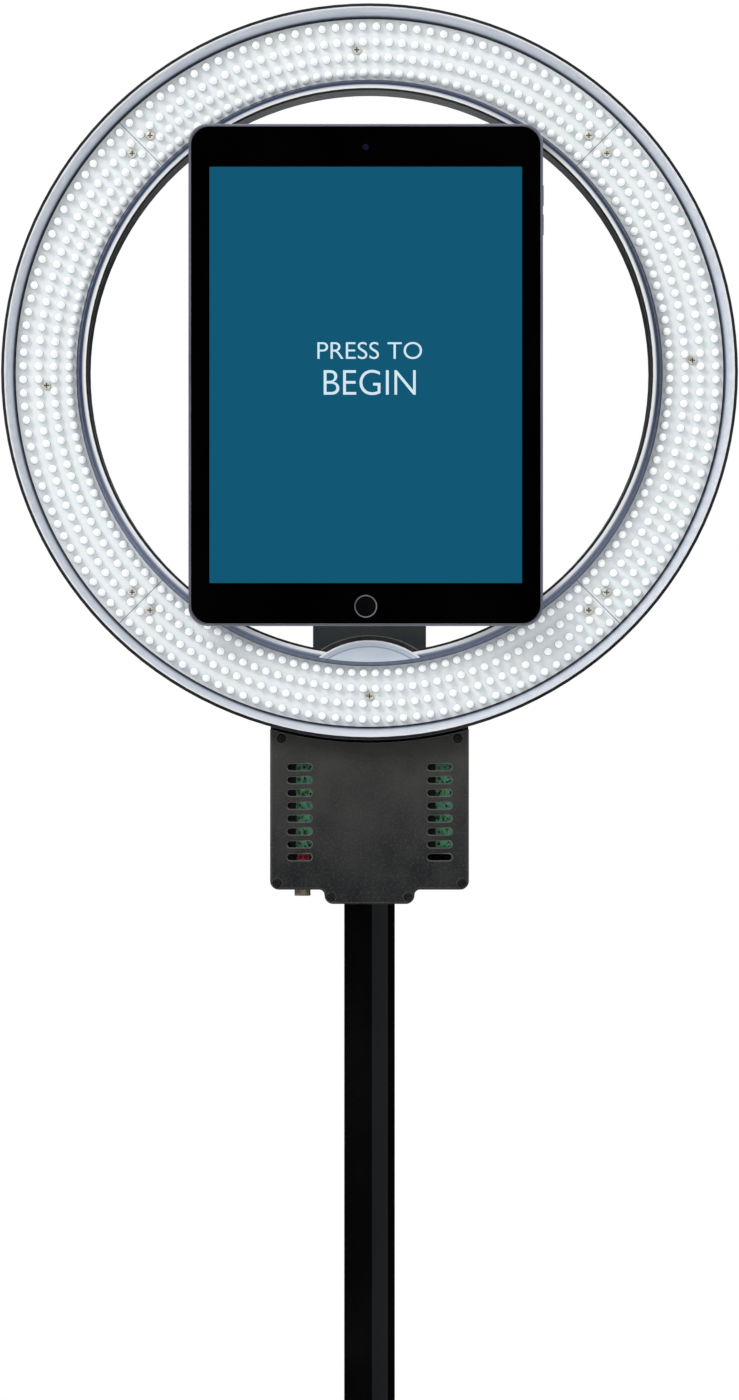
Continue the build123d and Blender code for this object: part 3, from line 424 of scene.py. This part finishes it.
def crossHeads(look):
    finish, tree, shader, place = newFinish("screw_nickel")
    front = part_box("led_board_screws")[0].y
    x, y, z = axes(tree, place)
    patches = spread(tree, cloud(tree, place, look["blotch"], 3), 0, 0.6)
    tone = between(tree, patches, look["head"], look["rim"])
    # Painted shade: the sunk cross is darkened by its depth.
    deep = spread(tree, y, 0, 1, front + look["sunk"] * 0.7, front + look["sunk"])
    tone = between(tree, deep, tone, look["recess"])
    paint(tree, shader, tone, spread(tree, cloud(tree, place, 0.0006, 2), *look["rough"]))
    relief(tree, shader, cloud(tree, place, look["grain"], 2), look["depth"])
    shader.inputs["Metallic"].default_value = look["metallic"]
    return finish


finishes["led_board_screws"] = crossHeads(nickelLook)


# White LED boards: mint-white lacquer with faint tracks between the rows, and milky domes darkened at the
# foot as painted shade.

boardLook = {
    "lacquer": (0.88, 0.935, 0.91), "cloudy": (0.86, 0.88, 0.93), "blotch": 0.006, "rough": (0.32, 0.48),
    "track": (0.92, 0.95, 0.94), "trackRadii": (0.1484, 0.1558, 0.1632), "trackWidth": 0.0011,
    "trackAmount": 0.35, "trackHeight": 0.7, "depth": 0.00003,
}
lensLook = {
    "milk": (0.93, 0.95, 0.95), "shade": (0.86, 0.89, 0.90), "foot": (0.74, 0.78, 0.79), "flange": 0.0009,
    "glow": 0.30, "rough": (0.10, 0.22),
}


def whiteBoard(look):
    finish, tree, shader, place = newFinish("board_white")
    radius = ringPlace(tree, place, (0, ringCentre().z))[0]
    patches = spread(tree, cloud(tree, place, look["blotch"], 5), 0, 1)
    tone = between(tree, patches, look["lacquer"], look["cloudy"])
    tracks = 0.0
    for row in look["trackRadii"]:
        line = spread(tree, gap(tree, radius, row), 1, 0, look["trackWidth"] * 0.7, look["trackWidth"])
        tracks = work(tree, "MAXIMUM", line, tracks)
    tone = between(tree, work(tree, "MULTIPLY", tracks, look["trackAmount"]), tone, look["track"])
    paint(tree, shader, tone, spread(tree, patches, *look["rough"], 0, 1))
    raised = work(tree, "MULTIPLY", tracks, look["trackHeight"])
    relief(tree, shader, work(tree, "ADD", raised, cloud(tree, place, 0.0015, 2)), look["depth"])
    return finish


def milkyLens(look):
    finish, tree, shader, place = newFinish("led_lens")
    tone = between(tree, spread(tree, cloud(tree, place, 0.003, 3), 0, 1), look["milk"], look["shade"])
    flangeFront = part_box("led_board_top")[0].y - look["flange"]
    atFlange = work(tree, "GREATER_THAN", axes(tree, place)[1], flangeFront)
    domes = between(tree, atFlange, tone, (0.0, 0.0, 0.0))  # only the domes glow
    tree.links.new(domes, shader.inputs["Emission Color"])
    shader.inputs["Emission Strength"].default_value = look["glow"]
    # Painted shade: the flange at the dome's foot is darkened.
    tone = between(tree, atFlange, tone, look["foot"])
    paint(tree, shader, tone, spread(tree, cloud(tree, place, 0.001, 2), *look["rough"]))
    return finish


finishes["board_white"] = whiteBoard(boardLook)
finishes["led_lens"] = milkyLens(lensLook)


# Control box: fine pebbled charcoal paint, paler near the top and darker toward the foot as painted shade,
# with thin painted highlights at the slots.

boxSlots = {
    "x": 33.8 * mm, "topZ": 1229.9 * mm, "pitch": 6.21 * mm, "count": 8, "reach": 4.35 * mm, "half": 1.6 * mm,
}
charcoalLook = {
    "tone": (0.056, 0.0566, 0.0505), "shade": (0.0030, 0.0038, 0.0055), "footPaintedShade": 0.80,
    "blotch": 0.014, "blotchAmount": 0.28, "speck": (0.075, 0.075, 0.068), "speckSize": 0.0012,
    "speckAmount": 0.35, "wearAndHighlight": (0.22, 0.22, 0.215), "edgeRadius": 0.0004, "edgeAmount": 0.8,
    "rim": (0.12, 0.12, 0.117), "slotHighlightWidth": 0.6 * mm, "pebble": 0.0010, "depth": 0.00012,
    "rough": (0.42, 0.62), "specular": 0.28,
}


def slotHighlights(tree, x, z, slots, width):
    # A thin painted highlight just outside each slot, brightest below it and on its right, where light
    # catches the cut edge.
    fromMiddle = work(tree, "SUBTRACT", work(tree, "ABSOLUTE", x), slots["x"])
    fromLowest = work(tree, "SUBTRACT", z, slots["topZ"] - slots["pitch"] * (slots["count"] - 1))
    step = work(tree, "ROUND", work(tree, "MULTIPLY", fromLowest, 1 / slots["pitch"]))
    step = work(tree, "MINIMUM", work(tree, "MAXIMUM", step, 0.0), slots["count"] - 1.0)
    up = work(tree, "SUBTRACT", fromLowest, work(tree, "MULTIPLY", step, slots["pitch"]))
    past = work(tree, "SUBTRACT", work(tree, "ABSOLUTE", fromMiddle), slots["reach"])
    past = work(tree, "MAXIMUM", past, 0.0)
    squares = work(tree, "ADD", work(tree, "MULTIPLY", past, past), work(tree, "MULTIPLY", up, up))
    outside = work(tree, "SUBTRACT", work(tree, "SQRT", squares), slots["half"])
    line = spread(tree, outside, 1, 0, width * 0.5, width)
    rightward = work(tree, "MULTIPLY", fromMiddle, work(tree, "SIGN", x))
    right = spread(tree, rightward, 0.0, 1, 0, slots["reach"])
    below = spread(tree, up, 0.8, 0.0, -slots["half"], 0)
    return work(tree, "MULTIPLY", line, work(tree, "MAXIMUM", right, below))


def pebbledCharcoal(look):
    finish, tree, shader, place = newFinish("box_charcoal")
    pebbles = cells(tree, place, look["pebble"])
    low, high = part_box("box_front_cover")
    x, y, z = axes(tree, place)
    # Painted shade: the paint darkens toward the box's foot.
    paintedShadeDown = spread(tree, z, look["footPaintedShade"], 0.0, low.z, high.z)
    blotches = spread(tree, cloud(tree, place, look["blotch"], 5), 0, look["blotchAmount"])
    tone = between(tree, work(tree, "ADD", blotches, paintedShadeDown), look["tone"], look["shade"])
    specks = spread(tree, cloud(tree, place, look["speckSize"], 3), 0, look["speckAmount"], 0.5, 0.72)
    tone = between(tree, specks, tone, look["speck"])
    # Painted highlight: the box's edges lightened.
    wornAndHighlit = work(tree, "MULTIPLY", edgeMask(tree, look["edgeRadius"]), look["edgeAmount"])
    tone = between(tree, wornAndHighlit, tone, look["wearAndHighlight"])
    # Painted highlight: thin lines at the slots' lower and right edges.
    tone = between(tree, slotHighlights(tree, x, z, boxSlots, look["slotHighlightWidth"]), tone, look["rim"])
    paint(tree, shader, tone, spread(tree, pebbles, *look["rough"], 0, 0.7))
    relief(tree, shader, pebbles, look["depth"])
    shader.inputs["Specular IOR Level"].default_value = look["specular"]
    return finish


finishes["box_charcoal"] = pebbledCharcoal(charcoalLook)


# Green circuit boards: lacquer over paler copper tracks, with small bare holes.

circuitLook = {
    "lacquer": (0.006, 0.15, 0.055), "track": (0.22, 0.90, 0.48), "pitch": 0.0026,
    "hole": (0.60, 0.60, 0.45), "holeSpacing": 1.9, "rough": (0.2, 0.34), "depth": 0.00004,
}


def greenCircuit(look):
    finish, tree, shader, place = newFinish("circuit_green")
    lanes = cells(tree, place, look["pitch"], "DISTANCE_TO_EDGE", (1, 0.01, 0.55))
    tracks = spread(tree, lanes, 0, 1, 0.14, 0.20)
    patches = spread(tree, cloud(tree, place, 0.006, 3), 0.3, 1)
    tone = between(tree, work(tree, "MULTIPLY", tracks, patches), look["track"], look["lacquer"])
    spots = cells(tree, place, look["pitch"] * look["holeSpacing"], "F1", (1, 0.01, 1))
    tone = between(tree, spread(tree, spots, 1, 0, 0.10, 0.14), tone, look["hole"])
    paint(tree, shader, tone, spread(tree, patches, *look["rough"], 0, 1))
    relief(tree, shader, tracks, look["depth"])
    return finish


finishes["circuit_green"] = greenCircuit(circuitLook)


# Pole: gloss black with a faint orange-peel and a scatter of fine vertical rub marks.

poleLook = {
    "tone": (0.0025, 0.0025, 0.0028), "shade": (0.0040, 0.0040, 0.0044), "blotch": 0.03,
    "rub": 0.004, "rough": (0.035, 0.07), "peel": 0.004, "depth": 0.000002,
}


def glossPole(look):
    finish, tree, shader, place = newFinish("pole_black")
    patches = spread(tree, cloud(tree, place, look["blotch"], 3), 0, 1)
    tone = between(tree, patches, look["tone"], look["shade"])
    rubs = cloud(tree, place, look["rub"], 3, (6, 6, 0.4))
    paint(tree, shader, tone, spread(tree, rubs, *look["rough"]))
    relief(tree, shader, cloud(tree, place, look["peel"], 1), look["depth"])
    return finish


finishes["pole_black"] = glossPole(poleLook)


# Black control plastic: the rocker's face carries a printed bar and a ring.

switchLook = {
    "tone": (0.010, 0.010, 0.011), "shade": (0.016, 0.016, 0.017), "blotch": 0.006, "rough": (0.28, 0.4),
    "mark": (0.75, 0.75, 0.72), "ringRadius": 1.5 * mm, "lineHalf": 0.2 * mm, "barHalf": 1.6 * mm,
    "fade": 0.1 * mm, "grain": 0.0004, "depth": 0.00001,
}


def switchPlastic(look):
    finish, tree, shader, place = newFinish("control_black")
    low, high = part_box("power_switch_rocker")
    middle, half = (low + high) / 2, (high.z - low.z) / 2
    patches = spread(tree, cloud(tree, place, look["blotch"], 3), 0, 1)
    tone = between(tree, patches, look["tone"], look["shade"])
    radius, x, z = ringPlace(tree, place, (middle.x, middle.z - half * 0.5))

    def within(value, reach):
        return spread(tree, value, 1, 0, reach, reach + look["fade"])

    ring = within(gap(tree, radius, look["ringRadius"]), look["lineHalf"])
    bar = work(tree, "MULTIPLY", within(work(tree, "ABSOLUTE", x), look["lineHalf"]),
               within(gap(tree, z, half), look["barHalf"]))
    tone = between(tree, work(tree, "MAXIMUM", ring, bar), tone, look["mark"])
    paint(tree, shader, tone, spread(tree, cloud(tree, place, 0.002, 2), *look["rough"]))
    relief(tree, shader, cloud(tree, place, look["grain"], 2), look["depth"])
    return finish


finishes["control_black"] = switchPlastic(switchLook)


# Foam tape: open cells on a dark grey.

foamLook = {
    "tone": (0.020, 0.020, 0.021), "shade": (0.038, 0.038, 0.040), "cell": 0.0005, "depth": 0.00015,
    "rough": (0.85, 0.95), "sheen": 0.2,
    "pad": (34 * mm, 46 * mm), "corner": 1.2 * mm, "layers": 8, "bulge": 0.5 * mm, "fill": 0.95,
}


def foamSurface(look):
    finish, tree, shader, place = newFinish("foam_black")
    pores = cells(tree, place, look["cell"])
    tone = between(tree, spread(tree, pores, 0, 1, 0.1, 0.6), look["tone"], look["shade"])
    paint(tree, shader, tone, spread(tree, cloud(tree, place, 0.001, 2), *look["rough"]))
    relief(tree, shader, pores, look["depth"])
    shader.inputs["Sheen Weight"].default_value = look["sheen"]
    return finish


finishes["foam_black"] = foamSurface(foamLook)


# Screen: a lit panel behind black-masked glass.

screenLook = {
    "lit": (0.0056, 0.0976, 0.178), "litShade": (0.0054, 0.0940, 0.172), "words": (0.66, 0.82, 0.90),
    "wordsShade": (0.6402, 0.7954, 0.873), "strength": 1.0,
    "mask": (0.0004, 0.0004, 0.0005), "smear": (0.0008, 0.0008, 0.0010), "maskRough": (0.02, 0.07),
    "window": (74.7 * mm, 99.5 * mm), "windowCorner": 0.4 * mm, "windowDepth": 0.9, "glassCorner": 9.0 * mm,
    "homeHole": 5.45 * mm, "cameraHole": 1.6 * mm, "cameraDrop": 4.4 * mm,
}


def litScreen(name, colour, shade, strength):
    finish, tree, shader, place = newFinish(name)
    tone = between(tree, spread(tree, cloud(tree, place, 0.05, 2), 0, 1), colour, shade)
    shader.inputs["Base Color"].default_value = (0.0005, 0.0005, 0.0005, 1)
    tree.links.new(tone, shader.inputs["Emission Color"])
    shader.inputs["Emission Strength"].default_value = strength
    tree.links.new(spread(tree, cloud(tree, place, 0.02, 3), 0.03, 0.06), shader.inputs["Roughness"])
    return finish


def maskedGlass(look):
    finish, tree, shader, place = newFinish("tablet_glass")
    smears = spread(tree, cloud(tree, place, 0.02, 4, (1, 1, 0.5)), 0, 1)
    tone = between(tree, smears, look["mask"], look["smear"])
    paint(tree, shader, tone, spread(tree, smears, *look["maskRough"], 0, 1))
    return finish


finishes["tablet_glass"] = maskedGlass(screenLook)
finishes["screen_blue"] = litScreen(
    "screen_blue", screenLook["lit"], screenLook["litShade"], screenLook["strength"])
finishes["screen_words"] = litScreen(
    "screen_words", screenLook["words"], screenLook["wordsShade"], screenLook["strength"])

for name, node in nodes.items():
    socket = node.material_slots[0]
    slotName = socket.material.name.split(".")[0]
    socket.link = "OBJECT"
    socket.material = finishes[name if name in finishes else slotName]
print("finishes on every node")


# Flat pieces cut from outlines drawn in the front plane: points are (x, z) in metres.

def roundedOutline(left, right, foot, top, radius, count=10):
    points = []
    corners = ((right - radius, foot + radius, -90), (right - radius, top - radius, 0),
               (left + radius, top - radius, 90), (left + radius, foot + radius, 180))
    for x, z, start in corners:
        for i in range(count + 1):
            turn = math.radians(start + 90 * i / count)
            points.append((x + radius * math.cos(turn), z + radius * math.sin(turn)))
    return points


def roundOutline(x, z, radius, count=64):
    return [(x + radius * math.cos(math.tau * i / count), z + radius * math.sin(math.tau * i / count))
            for i in range(count)]


def addPiece(name, mesh, body, finish):
    piece = bpy.data.objects.new(name, mesh)
    bpy.context.scene.collection.objects.link(piece)
    mesh.materials.clear()
    mesh.materials.append(finish)
    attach(piece, body)
    return piece


def meshFrom(name, shape):
    mesh = bpy.data.meshes.new(name)
    shape.to_mesh(mesh)
    shape.free()
    return mesh


def cutPlate(name, outlines, frontY, thick):
    # The first outline is the outside and the others are holes. The front face ends at frontY.
    curve = bpy.data.curves.new(name, "CURVE")
    curve.dimensions = "2D"
    curve.fill_mode = "BOTH"
    curve.extrude = thick / 2
    for outline in outlines:
        spline = curve.splines.new("POLY")
        spline.points.add(len(outline) - 1)
        for point, (x, z) in zip(spline.points, outline):
            point.co = (x, z, 0, 1)
        spline.use_cyclic_u = True
    return standUp(name, curve, frontY + thick / 2)


def standUp(name, curve, middleY):
    # Turns a curve's own XY plane into the front plane, as a mesh.
    holder = bpy.data.objects.new(name, curve)
    bpy.context.scene.collection.objects.link(holder)
    shape = holder.evaluated_get(bpy.context.evaluated_depsgraph_get())
    mesh = bpy.data.meshes.new_from_object(shape)
    bpy.data.objects.remove(holder)
    for vertex in mesh.vertices:
        x, z, y = vertex.co
        vertex.co = (x, middleY - y, z)
    mesh.update()
    return mesh


def screenGlass(look):
    low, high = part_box("tablet_front_glass")
    display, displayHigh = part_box("tablet_display")
    home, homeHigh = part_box("home_button_ring")
    middleX = (low.x + high.x) / 2
    middleZ = (display.z + displayHigh.z) / 2
    homeZ = (home.z + homeHigh.z) / 2
    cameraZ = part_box("tablet_cameras")[1].z - look["cameraDrop"]
    windowX, windowZ = look["window"]
    opening = roundedOutline(middleX - windowX, middleX + windowX, middleZ - windowZ, middleZ + windowZ,
                             look["windowCorner"], 4)
    outside = roundedOutline(low.x, high.x, low.z, high.z, look["glassCorner"], 16)
    holes = [roundOutline(middleX, homeZ, look["homeHole"]),
             roundOutline(middleX, cameraZ, look["cameraHole"], 32)]
    mesh = cutPlate("glassMask", [outside, opening] + holes, low.y, high.y - low.y)
    mask = addPiece("glassMask", mesh, "head", finishes["tablet_glass"])
    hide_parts("tablet_front_glass")
    mesh = cutPlate("litWindow", [opening], low.y, (high.y - low.y) * look["windowDepth"])
    addPiece("litWindow", mesh, "head", finishes["screen_blue"])


screenGlass(screenLook)
print("screen glass cut")


# Words on the screen in a plain typeface: a line above and a larger one under it.

wordsLook = {
    # For each line: the words, foot, height, width, and how much the strokes are thinned.
    "lines": (("PRESS TO", 1425.3 * mm, 8.1 * mm, 50.0 * mm, -0.006),
              ("BEGIN", 1408.1 * mm, 12.0 * mm, 44.0 * mm, -0.008)),
    "proud": 0.03 * mm, "middleX": 0.1 * mm,
}


def screenWords(look):
    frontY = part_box("tablet_front_glass")[0].y
    for number, (words, footZ, height, width, thin) in enumerate(look["lines"], 1):
        text = bpy.data.curves.new("words", "FONT")
        text.body = words
        text.offset = thin
        mesh = standUp("words", text, 0)
        xs = [v.co.x for v in mesh.vertices]
        zs = [v.co.z for v in mesh.vertices]
        left, right, foot, top = min(xs), max(xs), min(zs), max(zs)
        for vertex in mesh.vertices:
            x, y, z = vertex.co
            vertex.co = (look["middleX"] + ((x - left) / (right - left) - 0.5) * width,
                         frontY - look["proud"], footZ + (z - foot) / (top - foot) * height)
        addPiece(f"screenWords{number}", mesh, "head", finishes["screen_words"])


screenWords(wordsLook)
print("words set")


# Foam tape pads: square-cut faces with sides that bulge where the tablet squeezes them.

def foamPads(look):
    low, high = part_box("foam_pads")
    padWidth, padHeight = look["pad"]
    shape = bmesh.new()
    for left in (low.x, high.x - padWidth):
        for foot in (low.z, high.z - padHeight):
            rings = []
            for layer in range(look["layers"] + 1):
                across = layer / look["layers"]
                pull = look["bulge"] * (2 * across - 1) ** 2
                outline = roundedOutline(left + pull, left + padWidth - pull, foot + pull,
                                         foot + padHeight - pull, look["corner"], 5)
                y = low.y + (high.y - low.y) * across
                rings.append([shape.verts.new((x, y, z)) for x, z in outline])
            for below, above in zip(rings, rings[1:]):
                for i in range(len(below)):
                    j = (i + 1) % len(below)
                    shape.faces.new((below[i], below[j], above[j], above[i]))
            shape.faces.new(rings[0])
            shape.faces.new(list(reversed(rings[-1])))
    bmesh.ops.recalc_face_normals(shape, faces=shape.faces)
    tape = addPiece("foamTape", meshFrom("foamTape", shape), "head", finishes["foam_black"])
    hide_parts("foam_pads")


foamPads(foamLook)
print("foam tape laid")


# Small parts on the driver board, in a row behind each slot: a moulded body between two bright ends.

boardPartLook = {
    "body": (1.7 * mm, 0.7 * mm, 1.1 * mm), "bodyShare": 0.94, "bodySoften": 0.06 * mm,
    "end": 0.42 * mm, "endSoften": 0.05 * mm, "from": -1.0 * mm, "to": 5.0 * mm,
    "grow": (0.8, 1.35), "wander": (-0.8, 0.8), "gap": (0.5, 1.6), "kept": 0.75, "seed": 7,
}


def boxInto(shape, centre, size, soften):
    made = bmesh.ops.create_cube(shape, size=1.0)["verts"]
    for vertex in made:
        vertex.co = centre + Vector(c * s for c, s in zip(vertex.co, size))
    edges = list({edge for vertex in made for edge in vertex.link_edges})
    bmesh.ops.bevel(shape, geom=edges, offset=soften, segments=2, affect="EDGES", profile=0.6)


def boardParts(look, slots):
    draw = random.Random(look["seed"])
    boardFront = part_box("driver_board")[0].y
    bodies, ends = bmesh.new(), bmesh.new()
    wide, deep, tall = look["body"]
    for side in (-1, 1):
        for i in range(slots["count"] - 1):
            z = slots["topZ"] - slots["pitch"] * i
            x = side * slots["x"] + look["from"]
            while x < side * slots["x"] + look["to"]:
                grow = draw.uniform(*look["grow"])
                size = Vector((wide * grow, deep * grow, tall * grow))
                height = z + draw.uniform(*look["wander"]) * mm
                centre = Vector((x + size.x / 2, boardFront - size.y / 2, height))
                if draw.random() < look["kept"]:
                    boxInto(bodies, centre, size * look["bodyShare"], look["bodySoften"])
                    for way in (-1, 1):
                        place = centre + Vector((way * (size.x - look["end"]) / 2, 0, 0))
                        boxInto(ends, place, Vector((look["end"], size.y, size.z)), look["endSoften"])
                x += size.x + draw.uniform(*look["gap"]) * mm
    addPiece("boardPartBodies", meshFrom("bodies", bodies), "head", finishes["boardCeramic"])
    addPiece("boardPartEnds", meshFrom("ends", ends), "head", finishes["screw_nickel"])


finishes["boardCeramic"] = layFinish("boardCeramic", tone=(0.010, 0.020, 0.012), shade=(0.05, 0.16, 0.08),
                                     rough=(0.3, 0.45), blotch=0.003, grain=0.0003, depth=0.000005)
boardParts(boardPartLook, boxSlots)
print("board parts placed")


# Dial printed on the back of the box: ticks round the dimmer, longer at the ends, and a minus and a plus.

dialLook = {
    "ticks": 11, "sweep": 280, "inner": 9.3 * mm, "length": 1.3 * mm, "long": 2.2 * mm,
    "width": 0.35 * mm, "proud": 0.04 * mm, "sign": 1.1 * mm, "signReach": 12.6 * mm,
}


def dialMarks(look):
    low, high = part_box("dimmer_knob")
    middle = (low + high) / 2
    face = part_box("box_rear_shell")[1].y + look["proud"]
    shape = bmesh.new()

    def stroke(fromX, fromZ, toX, toZ):
        way = Vector((toX - fromX, 0, toZ - fromZ)).normalized()
        side = Vector((-way.z, 0, way.x)) * look["width"] / 2
        first, last = (Vector((middle.x + x, face, middle.z + z)) for x, z in ((fromX, fromZ), (toX, toZ)))
        corners = (first - side, last - side, last + side, first + side)
        shape.faces.new([shape.verts.new(corner) for corner in corners])

    def direction(tick):
        turn = math.radians(90 + look["sweep"] * (0.5 - tick / (look["ticks"] - 1)))
        return math.cos(turn), math.sin(turn)

    inner, lastTick = look["inner"], look["ticks"] - 1
    for tick in range(look["ticks"]):
        x, z = direction(tick)
        outer = inner + (look["long"] if tick in (0, lastTick) else look["length"])
        stroke(inner * x, inner * z, outer * x, outer * z)
    for tick in (0, lastTick):
        x, z = (look["signReach"] * part for part in direction(tick))
        half = look["sign"]
        stroke(x - half, z, x + half, z)
        if tick == lastTick:
            stroke(x, z - half, x, z + half)
    addPiece("dialMarks", meshFrom("dialMarks", shape), "head", finishes["nylon_white"])


dialMarks(dialLook)
print("dial printed")


# Floor, world and lights.

studio = {
    "floor": (0.80, 0.80, 0.79), "floorShade": (0.785, 0.785, 0.775), "floorRadius": 4.5, "floorRough": 0.6,
    "fill": 0.66, "band": (-0.21, 0.19), "panel": (11.2, 92.0), "panelGlow": 0.29, "sky": (0.86, 0.92, 1.0),
    "keyPower": 34.0, "keyAt": (-1.5, -2.3, 3.0), "keySize": 1.1,
}


def paleFloor(look):
    shape = bmesh.new()
    bmesh.ops.create_circle(shape, cap_ends=True, radius=look["floorRadius"], segments=96)
    mesh = meshFrom("floor", shape)
    floor = bpy.data.objects.new("floor", mesh)
    bpy.context.scene.collection.objects.link(floor)
    finish, tree, shader, place = newFinish("floorPaint")
    tone = between(tree, spread(tree, cloud(tree, place, 0.4, 4), 0, 1), look["floor"], look["floorShade"])
    paint(tree, shader, tone, look["floorRough"])
    mesh.materials.append(finish)


def softStudio(look):
    # White behind the booth, an even fill, and for reflections a dark level band with one panel on the right.
    world = bpy.data.worlds.new("studio")
    bpy.context.scene.world = world
    world.use_nodes = True
    tree = world.node_tree
    tree.nodes.clear()
    rays = tree.nodes.new("ShaderNodeLightPath")
    x, y, z = axes(tree, tree.nodes.new("ShaderNodeTexCoord").outputs["Generated"])
    bearing = work(tree, "ARCTAN2", x, work(tree, "MULTIPLY", y, -1.0))
    inBand = work(tree, "MULTIPLY", work(tree, "GREATER_THAN", z, look["band"][0]),
                  work(tree, "LESS_THAN", z, look["band"][1]))
    start, stop = (math.radians(a) for a in look["panel"])
    inPanel = work(tree, "MULTIPLY", work(tree, "GREATER_THAN", bearing, start),
                   work(tree, "LESS_THAN", bearing, stop))
    panel = work(tree, "MULTIPLY", inPanel, look["panelGlow"])
    mirrored = work(tree, "ADD", work(tree, "SUBTRACT", 1.0, inBand), work(tree, "MULTIPLY", inBand, panel))

    def glow(colour, strength):
        node = tree.nodes.new("ShaderNodeBackground")
        node.inputs["Color"].default_value = (*colour, 1)
        feed(tree, strength, node.inputs["Strength"])
        return node.outputs[0]

    def choose(factor, first, second):
        node = tree.nodes.new("ShaderNodeMixShader")
        for value, socket in zip((factor, first, second), node.inputs):
            tree.links.new(value, socket)
        return node.outputs[0]

    lit = choose(rays.outputs["Is Glossy Ray"], glow((1, 1, 1), look["fill"]), glow(look["sky"], mirrored))
    seen = choose(rays.outputs["Is Camera Ray"], lit, glow((1, 1, 1), 1.0))
    tree.links.new(seen, tree.nodes.new("ShaderNodeOutputWorld").inputs["Surface"])

    key = bpy.data.lights.new("key", "AREA")
    key.energy = look["keyPower"]
    key.size = look["keySize"]
    holder = bpy.data.objects.new("key", key)
    bpy.context.scene.collection.objects.link(holder)
    holder.location = look["keyAt"]
    holder.rotation_euler = (ringCentre() - holder.location).to_track_quat("-Z", "Y").to_euler()
    holder.visible_camera = False


paleFloor(studio)
softStudio(studio)
print("studio lit")
